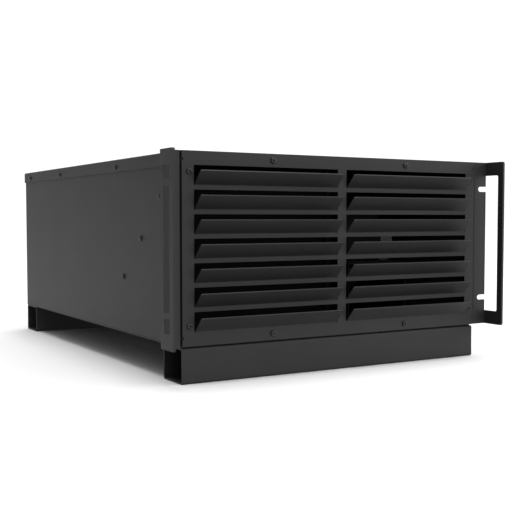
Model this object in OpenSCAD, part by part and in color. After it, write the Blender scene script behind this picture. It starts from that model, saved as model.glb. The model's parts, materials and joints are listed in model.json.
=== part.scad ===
// Rack-mounted cooling unit on two box-section cross tubes: a sheet-metal case with a
// lanced louvre front, bent rack ears with pull handles, and a self-contained cooling circuit.
// Millimetres, +Z up, front towards -Y, origin on the floor at the centre of the outline.

/* [Rack] */
// Outer width over the two rack ears
ear_span = 482.6; // [480:0.1:486]
// Distance between the left and right rack screw columns
hole_span = 465.1; // [463:0.1:467]
// Height between the two slots of one ear
slot_rise = 146.05; // [140:0.05:150]
// Width of a slot, which clears a rack screw
slot_w = 6.9; // [5:0.1:8]
// Distance from the screw column to the centre of the slot's round end
slot_in = 4; // [2:0.5:5]
// Thickness of the ear sheet
ear_t = 3; // [2:0.1:3.5]
// Outside radius of the ear's bends
ear_bend = 3.5; // [3.5:0.1:5]
// How far the pull handle stands out in front of the panel
handle_reach = 31; // [24:1:45]
// Height of the hand window in the handle
window_h = 182.3; // [160:0.1:195]
// Width of the grip strip in front of the hand window
grip_w = 9; // [6:0.5:12]
// Corner radius at the front of the hand window and of the handle
grip_r = 2.5; // [1:0.5:4]
// Depth of the ear's flange along the side of the case
ear_return = 50; // [40:1:52]

/* [Case] */
// Width of the case over its side panels
body_w = 431.8; // [428:0.1:434]
// Depth from the front face to the rear panel
body_d = 606; // [600:1:640]
// Height of the front panel
panel_h = 217.7; // [214:0.1:222]
// Gap between the foot tubes and the front panel
panel_rise = 1.8; // [1.8:0.1:3]
// Thickness of the case sheet
sheet = 1.5; // [1:0.1:1.8]
// Thickness of the top cover
cover_t = 1.2; // [0.8:0.1:1.5]
// Depth of the cover's turned-down edges
cover_flange = 16; // [12:1:24]
// Seam between neighbouring pieces
seam = 0.3; // [0.2:0.05:0.4]
// Depth of the folded edges inside the case
fold = 14; // [11:1:16]

/* [Foot tubes] */
// Height of a tube
tube_h = 41; // [36:1:50]
// Depth of a tube from front to back
tube_d = 50; // [40:1:60]
// Wall of a tube
tube_wall = 2; // [1.5:0.1:3]
// Outside corner radius of a tube
tube_r = 3; // [2.5:0.5:5]
// Setback of the tubes from the front and rear planes
tube_set = 1; // [0:0.5:4]
// Distance from the tube bolts to the side of the case
tube_bolt_in = 40; // [25:1:60]

/* [Louvres] */
// Number of louvre rows
rows = 7; // [5:1:7]
// Height from one row to the next
row_pitch = 27.3; // [26:0.1:27.6]
// Height of a louvre opening
row_open = 22.3; // [20:0.1:23]
// Width of one bank of louvres
bank_w = 194.6; // [185:0.2:195]
// Width of the bar between the two banks
mullion = 12.8; // [11:0.2:16]
// Thickness of the louvre panel
panel_t = 1.6; // [1.2:0.1:2]
// Length of a blade above its bend
blade_l = 20.4; // [16:0.1:22]
// Forward lean of a blade from vertical, in degrees
blade_lean = 45; // [35:1:50]
// Inside radius of a blade's bend
blade_bend = 1.5; // [1:0.1:3]
// Lancing gap at each end of a blade
blade_gap = 1.2; // [0.8:0.1:2]
// Radius of a blade's free corners
blade_r = 2.5; // [1:0.5:4]

/* [Screws] */
// Radius of a case screw's head
head_r = 3.6; // [3:0.1:4]
// Height of a case screw's head
head_h = 2; // [1.5:0.1:2.4]
// Radius of a case screw's shank
shank_r = 1.9; // [1.5:0.1:2]
// Length of a case screw under its head
shank_l = 6; // [5:0.5:8]
// Clearance around a screw's shank
screw_gap = 0.2; // [0.1:0.05:0.3]

/* [Coils] */
// Depth of a finned coil block
coil_d = 44; // [40:1:50]
// Distance between the tubes of a coil, up and down
tube_step = 25; // [22:0.5:26]
// Distance between the two tube columns
column_step = 22; // [18:1:24]
// Tubes in one column of the evaporator
evap_tubes_n = 6; // [4:2:6]
// Tubes in one column of the condenser
cond_tubes_n = 8; // [6:2:8]
// Backward slope of the evaporator from vertical, in degrees
evap_tilt = 48.8; // [46:0.1:52]
// Outside radius of a coil tube
coil_tube_r = 4.8; // [4:0.1:5.5]
// Distance from one fin to the next
fin_pitch = 6; // [4:0.5:10]
// Thickness of a fin
fin_t = 0.5; // [0.4:0.05:0.6]
// Length of the condenser's fin block
cond_l = 290; // [270:1:300]
// Height of the drip tray
tray_h = 13; // [10:1:15]

/* [Bulkhead and blower] */
// Depth of the cold compartment
cold_d = 262; // [258:1:275]
// Thickness of the bulkhead's insulation
foam_t = 18; // [12:1:20]
// Radius of the blower wheel
wheel_r = 68; // [60:1:70]
// Width of the blower wheel
wheel_w = 76; // [60:1:80]
// Number of blades on the blower wheel
wheel_blades = 32; // [16:1:36]
// Radius of the blower's inlet
inlet_r = 52; // [40:1:54]
// Least gap between the wheel and its scroll
scroll_gap = 8; // [6:0.5:8]
// Growth of the scroll's radius from tongue to outlet
scroll_rise = 29; // [24:0.5:30]
// Sheet thickness of the scroll
scroll_t = 1.2; // [1:0.1:1.5]
// Radius of the blower motor
blower_motor_r = 36; // [30:1:40]
// Length of the blower motor
blower_motor_l = 52; // [40:1:60]
// Radius of the blower shaft
blower_shaft_r = 4; // [3:0.5:5]

/* [Compressor] */
// Radius of the compressor shell
comp_r = 52; // [46:1:54]
// Height of the compressor shell over its end caps
comp_h = 168; // [150:1:175]
// Radius of the circle through the three feet
foot_pcd_r = 66; // [62:1:68]
// Height of a rubber foot
foot_h = 12; // [10:1:14]
// Radius of the suction accumulator
acc_r = 24; // [18:1:26]
// Height of the suction accumulator
acc_h = 112; // [90:1:120]
// Outside radius of the refrigerant pipes
pipe_r = 4; // [3:0.25:4.5]

/* [Condenser fans] */
// Side of a fan's square frame
fan_size = 150; // [140:1:152]
// Depth of a fan frame
fan_d = 38; // [32:1:40]
// Gap between the two fan frames
fan_gap = 6; // [2:1:8]
// Radius swept by the fan blades
fan_r = 67; // [60:1:67]
// Radius of the rotor's hub
hub_r = 24; // [20:1:28]
// Number of blades on a fan rotor
fan_blades = 7; // [5:1:9]
// Pitch of the fan blades, in degrees
fan_pitch = 32; // [25:1:38]
// Radius of a finger guard's wire
wire_r = 1.2; // [1:0.1:1.5]
// Distance between a fan's corner holes
fan_holes = 134; // [128:1:138]

/* [Electrical] */
// Width of the electrical box
ebox_w = 92; // [80:1:100]
// Depth of the electrical box
ebox_d = 120; // [100:1:130]
// Height of the electrical box
ebox_h = 130; // [110:1:150]
// Width of the power inlet's body
inlet_w = 27; // [26:0.5:29]
// Height of the power inlet's body
inlet_h = 20; // [19:0.5:22]
// Width of the power switch
switch_w = 15; // [13:0.5:17]
// Height of the power switch
switch_h = 21; // [20:0.5:24]
// Throw of the switch rocker to each side, in degrees
rocker_throw = 8; // [5:1:10]
// Radius of the drain spout
drain_r = 6; // [5:0.5:8]
// How far the drain spout stands out behind the rear panel
drain_out = 16; // [12:1:20]

/* [Hidden] */
$fn = 48;

// colours
coat = "#333333";
coat_dark = "#232323";
zinc = "#a9aaa8";
aluminium = "#b9bcbe";
copper = "#b5693c";
rubber = "#1c1c1c";
plastic = "#151515";

// outline
overall_l = handle_reach + body_d + drain_out;
front_y = handle_reach - overall_l / 2;
half_w = body_w / 2;
inner_x = half_w - sheet;
floor_z = tube_h + sheet;
panel_z = tube_h + panel_rise;
top_z = panel_z + panel_h;
ceiling_z = top_z - cover_t;
mid_z = panel_z + panel_h / 2;
rear_y = body_d - sheet;
ear_y = 1;

// louvre field
field_h = (rows - 1) * row_pitch + row_open;
field_z = mid_z - field_h / 2;
bank_x = (mullion + bank_w) / 2;
blade_w = bank_w - 2 * blade_gap;
row_z = [for (i = [0:rows - 1]) field_z + i * row_pitch];

// front frame and its screws
frame_y = panel_t + seam;
frame_edge = inner_x - seam;
frame_in_x = mullion / 2 + bank_w + 2;
frame_in_z = field_h / 2 + 4;
frame_out_z = panel_h / 2 - 3;
corner_screw_x = (half_w + mullion / 2 + bank_w) / 2 - 1.5;
front_screws = [
  for (s = [-1, 1], t = [-1, 1]) [s * corner_screw_x, mid_z + t * (frame_in_z - 11)],
  for (s = [-1, 1], t = [-1, 1]) [s * bank_x * 0.95, mid_z + t * (panel_h + field_h) / 4]
];

// sloping evaporator: its centre, and a point of its own frame set in the case
evap_y = 115.5;
evap_z = mid_z + 10;
function on_evap(x, v, w) = [
  x,
  evap_y - sin(evap_tilt) * w + cos(evap_tilt) * v,
  evap_z + cos(evap_tilt) * w + sin(evap_tilt) * v
];

// screw places on the sides, the cover and the rear panel
coil_screw_step = 75;
side_screws_yz = [for (t = [-1:1]) let (p = on_evap(0, 0, t * coil_screw_step)) [p[1], p[2]]];
ear_screws_z = [mid_z - slot_rise / 2, mid_z, mid_z + slot_rise / 2];
ear_screw_y = frame_y + fold / 2 + 1;
cover_screw_z = top_z - cover_flange / 2 - 1.5;
cover_screws_y = [for (f = [0.32, 0.695, 0.947]) body_d * f];
rear_screws_z = [for (t = [-1, 0, 1]) mid_z + t * 79.4];
rear_screw_x = half_w - 7.5;

// cold compartment
chamber_x = inner_x - 6;
divider_y = frame_y + fold + seam;
filter_y = divider_y + 2;
filter_d = 12;
filter_top = ceiling_z - 6;
bulkhead_y = cold_d;
foam_y = bulkhead_y + sheet + seam;
hot_y = foam_y + foam_t;

// coils: each ends in a box channel that covers its return bends
plate_t = 1.2;
coil_edge = 5;
evap_h = evap_tubes_n * tube_step + 2 * coil_edge;
cond_h = cond_tubes_n * tube_step + 2 * coil_edge;
bend_stub = 0.4;
channel_w = 2 * plate_t + bend_stub + tube_step / 2 + coil_tube_r + 0.6;
evap_x0 = seam - inner_x + channel_w;
evap_x1 = -sheet / 2 - seam - channel_w;
cond_x0 = 2 * seam + sheet - inner_x + channel_w;
cond_x1 = cond_x0 + cond_l;
cond_y = rear_y - fan_d - coil_d / 2 - 14;
cond_z = floor_z + seam + cond_h / 2;

// blower
blower_y = bulkhead_y - 112;
blower_z = mid_z - 2;
scroll_r = wheel_r + scroll_gap;
scroll_end = scroll_r + scroll_rise;
scroll_x = 24;
scroll_w = wheel_w + 16;
outlet_y = divider_y + 4;
outlet_h = 84;
tongue_a = 195;
wheel_x = scroll_x + 8;
motor_x = scroll_x + scroll_w + seam + 3;

// compressor and accumulator
comp_x = -104;
comp_y = hot_y + foot_pcd_r + 32;
comp_z = floor_z + foot_h + seam;
acc_x = comp_x + comp_r + acc_r + 12;
acc_y = comp_y;
acc_z = comp_z + 50;

// condenser fans
fan_mid_x = (cond_x0 + cond_x1) / 2 + 6;
fan_span = fan_size + fan_gap;
fan_x = [fan_mid_x - fan_span / 2, fan_mid_x + fan_span / 2];
fan_y = rear_y - seam - fan_d;
fan_bore = fan_r + 3;
fan_shaft_r = 3;
hub_l = fan_d - 14;
hub_y = fan_y + 2;

// electrical parts
ebox_x = inner_x - ebox_w - 24;
ebox_y = hot_y + 24;
inlet_x = inner_x - 34;
inlet_z = top_z - 40;
switch_z = inlet_z - inlet_h / 2 - switch_h / 2 - 12;
drain_x = inner_x - 9.5;
drain_z = floor_z + 8;
drain_y = bulkhead_y - 9;

// ---------------------------------------------------------------- helpers

// Moves a piece from the front plane's frame to the part's frame
module at_front() {
  translate([0, front_y, 0]) children();
}

// Block between two values on each axis
module span(x, y, z) {
  translate([x[0], y[0], z[0]]) cube([x[1] - x[0], y[1] - y[0], z[1] - z[0]]);
}

// Extrudes an outline drawn in X and Z towards the rear, starting at y
module along_y(y, d) {
  translate([0, y + d, 0]) rotate([90, 0, 0]) linear_extrude(d) children();
}

// Extrudes an outline drawn in Y and Z towards +X, starting at x
module along_x(x, w) {
  translate([x, 0, 0]) rotate([90, 0, 90]) linear_extrude(w) children();
}

// Round bar along Y or X through a point
module rod_y(p, r, d) {
  translate(p) rotate([-90, 0, 0]) cylinder(h = d, r = r);
}

module rod_x(p, r, w) {
  translate(p) rotate([0, 90, 0]) cylinder(h = w, r = r);
}

// Draws the children and their mirror image on the other side
module both_sides() {
  children();
  mirror([1, 0, 0]) children();
}

// Rectangle with round corners, centred
module round_rect(w, h, r) {
  square([w - 2 * r, h], center = true);
  square([w, h - 2 * r], center = true);
  for (sx = [-1, 1], sy = [-1, 1]) translate([sx * (w / 2 - r), sy * (h / 2 - r)]) circle(r);
}

// Pan-head screw: its head stands on the plane z = 0, its shank goes down
module pan_screw(length = shank_l, r = head_r) {
  translate([0, 0, -length]) cylinder(h = length, r = shank_r);
  intersection() {
    cylinder(h = head_h, r = r);
    translate([0, 0, head_h - 2 * r]) sphere(2 * r);
  }
}

// Pan-head screws on a front or rear plane, heads towards -Y
module screws_front(places, y) {
  for (p = places) translate([p[0], y, p[1]]) rotate([90, 0, 0]) pan_screw();
}

// Round holes through a sheet that stands across Y
module holes_y(places, y, d, r = shank_r + screw_gap) {
  for (p = places) rod_y([p[0], y - 1, p[1]], r, d + 2);
}

// Round holes through a sheet that stands across X, on both sides of the case
module holes_x(places, x, w, r = shank_r + screw_gap) {
  for (p = places) rod_x([x - 1, p[0], p[1]], r, w + 2);
}

// Pipe through a list of points; the ball at each elbow is a shade fuller than the pipe
module pipe(points, r = pipe_r) {
  last = len(points) - 2;
  for (i = [0:last]) {
    way = points[i + 1] - points[i];
    length = norm(way);
    translate(points[i]) rotate([0, acos(way[2] / length), atan2(way[1], way[0])]) {
      cylinder(h = length, r = r);
      if (i < last) translate([0, 0, length]) sphere(r + 0.1);
    }
  }
}

// ---------------------------------------------------------------- case

tube_bolt_x = half_w - tube_bolt_in;
bolt_r = 3;
bolt_head_h = 4;
bolt_head_r = 5.8;

// Box-section cross tube with open ends; y is its front face
module foot_tube(y) {
  difference() {
    along_x(-half_w, body_w)
      translate([y + tube_d / 2, tube_h / 2])
        difference() {
          round_rect(tube_d, tube_h, tube_r);
          round_rect(tube_d - 2 * tube_wall, tube_h - 2 * tube_wall, max(tube_r - tube_wall, 0.4));
        }
    for (s = [-1, 1]) translate([s * tube_bolt_x, y + tube_d / 2, tube_h - tube_wall - 1])
      cylinder(h = tube_wall + 2, r = bolt_r + screw_gap);
  }
}

front_tube_y = tube_set;
rear_tube_y = body_d - tube_set - tube_d;

module front_foot_tube() {
  color(coat) at_front() foot_tube(front_tube_y);
}

module rear_foot_tube() {
  color(coat) at_front() foot_tube(rear_tube_y);
}

// Hex bolt down through the base pan and the tube's top wall, with its nut inside the tube
module tube_bolt() {
  translate([0, 0, floor_z + 0.05]) cylinder(h = bolt_head_h, r = bolt_head_r, $fn = 6);
  translate([0, 0, tube_h - tube_wall - 8]) cylinder(h = sheet + tube_wall + 8.1, r = bolt_r);
  translate([0, 0, tube_h - tube_wall - 0.05 - bolt_head_h]) cylinder(h = bolt_head_h, r = bolt_head_r, $fn = 6);
}

module foot_tube_bolts() {
  color(zinc) at_front()
    for (s = [-1, 1], y = [front_tube_y, rear_tube_y])
      translate([s * tube_bolt_x, y + tube_d / 2, 0]) tube_bolt();
}

pan_wall_h = 20;
pan_front = 6;
pan_slot_w = 5;
pan_slot_l = 34;
pan_slot_y = cond_y - coil_d / 2 - pan_slot_l - 22;
pan_slots_x = [for (x = [20:12:170]) x];
wall_x = inner_x - seam;

module base_pan() {
  color(coat) at_front() difference() {
    union() {
      span([-half_w, half_w], [pan_front, body_d], [tube_h, floor_z]);
      both_sides()
        span([wall_x - sheet, wall_x], [divider_y, rear_y - fold - 2], [floor_z - 0.5, floor_z + pan_wall_h]);
    }
    for (x = pan_slots_x) translate([x, pan_slot_y + pan_slot_l / 2, tube_h - 1])
      linear_extrude(sheet + 2) round_rect(pan_slot_w, pan_slot_l, pan_slot_w / 2 - 0.01);
    for (s = [-1, 1], y = [front_tube_y, rear_tube_y])
      translate([s * tube_bolt_x, y + tube_d / 2, tube_h - 1]) cylinder(h = sheet + 2, r = bolt_r + screw_gap);
  }
}

// Side skin with folded top and rear edges; this one stands on the +X side
module side_panel() {
  low = floor_z + seam;
  high = ceiling_z - seam;
  difference() {
    union() {
      span([inner_x, half_w], [frame_y, rear_y - seam], [low, high]);
      span([half_w - fold, half_w], [divider_y, rear_y - seam], [high - sheet, high]);
      span([half_w - fold, half_w], [rear_y - seam - sheet, rear_y - seam], [floor_z + pan_wall_h + 1, high]);
    }
    holes_x(side_screws_yz, inner_x, sheet);
    holes_x([for (z = ear_screws_z) [ear_screw_y, z]], inner_x, sheet);
    holes_x([for (y = cover_screws_y) [y, cover_screw_z]], inner_x, sheet);
    holes_y([for (z = rear_screws_z) [rear_screw_x, z]], rear_y - seam - sheet, sheet);
  }
}

module left_side_panel() {
  color(coat) at_front() mirror([1, 0, 0]) side_panel();
}

module right_side_panel() {
  color(coat) at_front() side_panel();
}

cover_out = half_w + seam + cover_t;
cover_front = ear_y + ear_return + seam;
cover_bend = 2;

// Lid with rounded side bends; its turned-down edges start behind the ears
module top_cover() {
  color(coat) at_front() difference() {
    union() {
      span([-half_w, half_w], [frame_y, body_d + seam], [ceiling_z, top_z]);
      along_y(cover_front, body_d + seam + cover_t - cover_front)
        for (s = [0, 1]) mirror([s, 0]) {
          translate([half_w - 1, ceiling_z]) square([cover_out - cover_bend - half_w + 1, cover_t]);
          translate([cover_out - cover_t, top_z - cover_flange]) square([cover_t, cover_flange - cover_bend]);
          translate([cover_out - cover_bend, top_z - cover_bend]) intersection() {
            difference() {
              circle(cover_bend);
              circle(cover_bend - cover_t);
            }
            square(cover_bend);
          }
        }
      span([-half_w, half_w], [body_d + seam - 0.5, body_d + seam + cover_t], [ceiling_z, top_z]);
      span([-half_w - seam, half_w + seam], [body_d + seam, body_d + seam + cover_t],
        [top_z - cover_flange, ceiling_z + 0.5]);
    }
    for (s = [-1, 1]) translate([s * (half_w + seam / 2) - 3, 0, 0])
      holes_x([for (y = cover_screws_y) [y, cover_screw_z]], 0, 6);
  }
}

intake_slot_w = 4;
intake_slot_h = 92;
intake_slots_x = [for (i = [0:7]) inner_x - 20 - i * 8];
intake_z = panel_z + 40 + intake_slot_h / 2;
fan_corners = [for (sx = [-1, 1], sz = [-1, 1]) [sx * fan_holes / 2, sz * fan_holes / 2]];

module rear_panel() {
  color(coat) at_front() difference() {
    union() {
      span([-half_w, half_w], [rear_y, body_d], [panel_z, ceiling_z - seam]);
      span([fold - inner_x, inner_x - fold], [rear_y - fold, rear_y + 0.5], [floor_z + seam, floor_z + seam + sheet]);
    }
    for (x = fan_x) {
      rod_y([x, rear_y - 1, mid_z], fan_bore, sheet + 2);
      holes_y([for (c = fan_corners) [x + c[0], mid_z + c[1]]], rear_y, sheet);
    }
    for (x = intake_slots_x) along_y(rear_y - 1, sheet + 2)
      translate([x, intake_z]) round_rect(intake_slot_w, intake_slot_h, intake_slot_w / 2 - 0.01);
    span([inlet_x - inlet_w / 2 - seam, inlet_x + inlet_w / 2 + seam], [rear_y - 1, body_d + 1],
      [inlet_z - inlet_h / 2 - seam, inlet_z + inlet_h / 2 + seam]);
    span([inlet_x - switch_w / 2 - seam, inlet_x + switch_w / 2 + seam], [rear_y - 1, body_d + 1],
      [switch_z - switch_h / 2 - seam, switch_z + switch_h / 2 + seam]);
    rod_y([drain_x, rear_y - 1, drain_z], pipe_r + seam, sheet + 2);
    holes_y([for (s = [-1, 1], z = rear_screws_z) [s * rear_screw_x, z]], rear_y, sheet);
  }
}

// Frame behind the louvre panel: a flat ring with a rim that runs back along the case
module front_frame() {
  low = floor_z + seam;
  high = ceiling_z - seam;
  color(coat_dark) at_front() difference() {
    span([-wall_x, wall_x], [frame_y, frame_y + fold], [low, high]);
    span([sheet - wall_x, wall_x - sheet], [frame_y + sheet, frame_y + fold + 1], [low + sheet, high - sheet]);
    span([-frame_in_x, frame_in_x], [frame_y - 1, frame_y + fold], [mid_z - frame_in_z, mid_z + frame_in_z]);
    holes_y(front_screws, frame_y, sheet);
    for (s = [-1, 1]) holes_x([for (z = ear_screws_z) [ear_screw_y, z]], s * wall_x - sheet, 2 * sheet);
  }
}

// One lanced blade: sheet bent forward out of the panel along the bottom of its opening
module louvre_blade() {
  along_x(-blade_w / 2, blade_w) translate([-blade_bend, 0]) intersection() {
    difference() {
      circle(blade_bend + panel_t);
      circle(blade_bend);
    }
    polygon([[0, 0], 9 * [1, 0], 9 * [1, tan(blade_lean)]]);
  }
  translate([0, -blade_bend, 0]) rotate([blade_lean, 0, 0]) translate([0, blade_bend, 0])
    along_y(0, panel_t) {
      translate([-blade_w / 2, 0]) square([blade_w, blade_l - blade_r]);
      translate([blade_r - blade_w / 2, 0]) square([blade_w - 2 * blade_r, blade_l]);
      for (s = [-1, 1]) translate([s * (blade_w / 2 - blade_r), blade_l - blade_r]) circle(blade_r);
    }
}

relief_r = 1.8;
relief_in = 9.5;

// Louvred front: two banks of blades cut and bent from the panel's own sheet
module front_louvre_panel() {
  color(coat) at_front() {
    difference() {
      span([-half_w, half_w], [0, panel_t], [panel_z, top_z]);
      for (s = [-1, 1], z = row_z)
        span([s * bank_x - bank_w / 2, s * bank_x + bank_w / 2], [-1, panel_t + 1], [z, z + row_open]);
      holes_y(front_screws, 0, panel_t);
      for (s = [-1, 1], z = [panel_z + relief_in, top_z - relief_in])
        rod_y([s * half_w, -1, z], relief_r, panel_t + 2);
    }
    for (s = [-1, 1], z = row_z) translate([s * bank_x, 0, z]) louvre_blade();
  }
}

// Rack ear bent from one sheet: side flange, rack flange with open slots, pull handle with a hand window
module rack_ear() {
  x0 = half_w + seam;
  x1 = ear_span / 2;
  c0 = [x0 + ear_bend, ear_y + ear_bend];
  c1 = [x1 - ear_bend, ear_y + ear_t - ear_bend];
  length = handle_reach + ear_y + ear_return;
  slot_x = hole_span / 2 - slot_in;
  difference() {
    intersection() {
      translate([0, 0, panel_z]) linear_extrude(panel_h) {
        translate([x0, c0[1]]) square([ear_t, ear_y + ear_return - c0[1]]);
        translate([c0[0], ear_y]) square([c1[0] - c0[0], ear_t]);
        translate([x1 - ear_t, -handle_reach]) square([ear_t, c1[1] + handle_reach]);
        translate(c0) bend_quarter(180);
        translate(c1) bend_quarter(0);
      }
      along_x(0, x1 + 1) translate([length / 2 - handle_reach, mid_z]) round_rect(length, panel_h, grip_r);
    }
    along_x(x1 - ear_t, ear_t + 1) translate([grip_w - handle_reach / 2 + ear_t, mid_z])
      round_rect(handle_reach + 2 * ear_t, window_h, grip_r);
    for (s = [-1, 1]) {
      rod_y([slot_x, ear_y - 1, mid_z + s * slot_rise / 2], slot_w / 2, ear_t + 2);
      span([slot_x, x1 - ear_t + 0.5], [ear_y - 1, ear_y + ear_t + 1],
        [mid_z + s * slot_rise / 2 - slot_w / 2, mid_z + s * slot_rise / 2 + slot_w / 2]);
    }
    holes_x([for (z = ear_screws_z) [ear_screw_y, z]], x0, ear_t);
  }
}

// Quarter ring of the ear's bend, turned about Z
module bend_quarter(turn) {
  rotate(turn) intersection() {
    difference() {
      circle(ear_bend);
      circle(ear_bend - ear_t);
    }
    square(ear_bend);
  }
}

module left_rack_ear() {
  color(coat) at_front() mirror([1, 0, 0]) rack_ear();
}

module right_rack_ear() {
  color(coat) at_front() rack_ear();
}

// ---------------------------------------------------------------- case screws

module front_panel_screws() {
  color(coat_dark) at_front() screws_front(front_screws, 0);
}

// Screws with their heads on the plane x, on both sides of the case
module screws_out(places, x, length) {
  both_sides() for (p = places) translate([x, p[0], p[1]]) rotate([0, 90, 0]) pan_screw(length);
}

module side_screws() {
  color(coat_dark) at_front() {
    screws_out(side_screws_yz, half_w, shank_l);
    screws_out([for (z = ear_screws_z) [ear_screw_y, z]], half_w + seam + ear_t, shank_l + ear_t);
  }
}

module cover_screws() {
  color(coat_dark) at_front() screws_out([for (y = cover_screws_y) [y, cover_screw_z]], cover_out, shank_l);
}

module rear_panel_screws() {
  color(coat_dark) at_front()
    for (s = [-1, 1], z = rear_screws_z) translate([s * rear_screw_x, body_d, z])
      rotate([-90, 0, 0]) pan_screw();
}

// ---------------------------------------------------------------- cold compartment

suction_x = evap_x1 + channel_w / 2;
suction_turn = on_evap(suction_x, coil_d / 2 + 18, -(evap_tubes_n - 1) * tube_step / 2);
liquid_from = on_evap(suction_x, -column_step / 2, -evap_h / 2 - 8);
cap_r = 1.5;
bulkhead_holes = [
  [suction_x, suction_turn[2], pipe_r + seam],
  [suction_x - 14, liquid_from[2], cap_r + seam],
  [drain_x, drain_z, pipe_r + seam]
];

// Cuts the pipe holes through a wall that stands across Y
module pipe_holes(y, d) {
  for (h = bulkhead_holes) rod_y([h[0], y - 1, h[1]], h[2], d + 2);
}

bulkhead_x = wall_x - sheet - seam;

module bulkhead_panel() {
  color(zinc) at_front() difference() {
    union() {
      span([-bulkhead_x, bulkhead_x], [bulkhead_y, bulkhead_y + sheet], [floor_z + seam, ceiling_z - sheet - 2 * seam]);
      span([-bulkhead_x, bulkhead_x], [bulkhead_y, foam_y + foam_t], [floor_z + seam, floor_z + seam + sheet]);
    }
    pipe_holes(bulkhead_y, foam_t);
  }
}

module bulkhead_foam() {
  color("#8d9094") at_front() difference() {
    span([-bulkhead_x, bulkhead_x], [foam_y, foam_y + foam_t],
      [floor_z + sheet + 2 * seam, ceiling_z - sheet - 2 * seam]);
    pipe_holes(foam_y, foam_t);
  }
}

// Sheet between the return side and the supply side, with the blower's inlet hole
module plenum_divider() {
  rear = bulkhead_y - seam;
  high = ceiling_z - seam;
  color(zinc) at_front() difference() {
    along_x(-sheet / 2, sheet) {
      translate([divider_y, floor_z + seam]) square([rear - divider_y, high - floor_z - seam]);
      translate([frame_y, mid_z - frame_in_z + 1]) square([divider_y - frame_y + 1, 2 * frame_in_z - 2]);
    }
    rod_x([-sheet, blower_y, blower_z], inlet_r + 4, 2 * sheet);
    rod_x([-sheet, drain_y, drain_z], pipe_r + seam, 2 * sheet);
  }
}

filter_x = [4 - inner_x + sheet, -sheet / 2 - 3];
filter_foot_h = 6;

// Frame of the washable air filter; two feet lift it clear of the tube bolts
module filter_frame() {
  low = floor_z + seam + filter_foot_h;
  color(plastic) at_front() {
    difference() {
      span(filter_x, [filter_y, filter_y + filter_d], [low, filter_top]);
      span([filter_x[0] + 8, filter_x[1] - 8], [filter_y - 1, filter_y + filter_d + 1], [low + 8, filter_top - 8]);
      span([filter_x[0] + 4, filter_x[1] - 4], [filter_y + 4, filter_y + 8], [low + 4, filter_top - 4]);
    }
    for (x = [filter_x[0] + 60, filter_x[1] - 40])
      span([x, x + 14], [filter_y, filter_y + filter_d], [floor_z + seam, low + 0.5]);
  }
}

// Filter cloth held in the frame's groove
module filter_mesh() {
  low = floor_z + seam + filter_foot_h;
  color("#3c3f42") at_front()
    span([filter_x[0] + 4 + seam, filter_x[1] - 4 - seam], [filter_y + 4 + seam, filter_y + 8 - seam],
      [low + 4 + seam, filter_top - 4 - seam]);
}

tray_x = [2 - wall_x + sheet, -sheet / 2 - 1];
tray_y = [filter_y + filter_d + 10, evap_y + evap_h / 2 * sin(evap_tilt) + coil_d / 2 + 10];

// Open tray under the sloping coil
module drip_tray() {
  color(plastic) at_front() difference() {
    span(tray_x, tray_y, [floor_z + seam, floor_z + seam + tray_h]);
    span([tray_x[0] + 2, tray_x[1] - 2], [tray_y[0] + 2, tray_y[1] - 2], [floor_z + seam + 2, floor_z + tray_h + 2]);
    rod_y([drain_cup_x, tray_y[1] - 3, drain_z], pipe_r + seam, 4);
  }
}

drain_cup_x = tray_x[1] - 30;
drain_collar = 1.9;

// Drain line from the tray, round the blower and out through the rear panel
module drain_spout() {
  color(plastic) at_front() {
    pipe([
      [drain_cup_x, tray_y[1] - 4, drain_z], [drain_cup_x, drain_y, drain_z], [drain_x, drain_y, drain_z],
      [drain_x, body_d + drain_out - 1, drain_z]
    ]);
    rod_y([drain_x, body_d + 0.1, drain_z], drain_r + 2, drain_collar);
    rod_y([drain_x, body_d + 0.1 + drain_collar, drain_z], drain_r, drain_out - drain_collar - 0.1);
  }
}

// Places a coil's own frame, centred, sloping in the cold compartment
module evap_frame() {
  translate([0, evap_y, evap_z]) rotate([evap_tilt, 0, 0]) children();
}

module cond_frame() {
  translate([0, cond_y, cond_z]) children();
}

// Tube centres of a coil with n tubes in each of its two columns
function coil_grid(n) = [
  for (c = [-1, 1], i = [0:n - 1]) [c * column_step / 2, (i - (n - 1) / 2) * tube_step]
];

// Stack of fins between x0 and x1, bored for the tubes
module coil_fins(x0, x1, n, h) {
  count = floor((x1 - x0 - fin_t) / fin_pitch);
  first = (x0 + x1 - count * fin_pitch - fin_t) / 2;
  for (i = [0:count]) along_x(first + i * fin_pitch, fin_t) difference() {
    square([coil_d, h], center = true);
    for (p = coil_grid(n)) translate(p) circle(coil_tube_r + 0.1);
  }
}

// Half-round bend between the tube ends p and q, on the side s
module return_bend(p, q, x, s) {
  way = q - p;
  translate([x, (p[0] + q[0]) / 2, (p[1] + q[1]) / 2])
    rotate([atan2(way[1], way[0]), 0, 0]) mirror([s < 0 ? 1 : 0, 0, 0])
      rotate([0, 0, -90]) rotate_extrude(angle = 180) translate([norm(way) / 2, 0]) circle(coil_tube_r);
}

// Serpentine of a coil; both free ends are at the foot of the +X end
module coil_tubes(x0, x1, n) {
  grid = coil_grid(n);
  out = plate_t + bend_stub;
  for (p = grid) rod_x([x0 - out, p[0], p[1]], coil_tube_r, x1 - x0 + 2 * out);
  for (c = [0, n]) {
    for (i = [0:2:n - 2]) return_bend(grid[c + i], grid[c + i + 1], x0 - out, -1);
    for (i = [1:2:n - 3]) return_bend(grid[c + i], grid[c + i + 1], x1 + out, 1);
  }
  return_bend(grid[n - 1], grid[2 * n - 1], x1 + out, 1);
}

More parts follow.
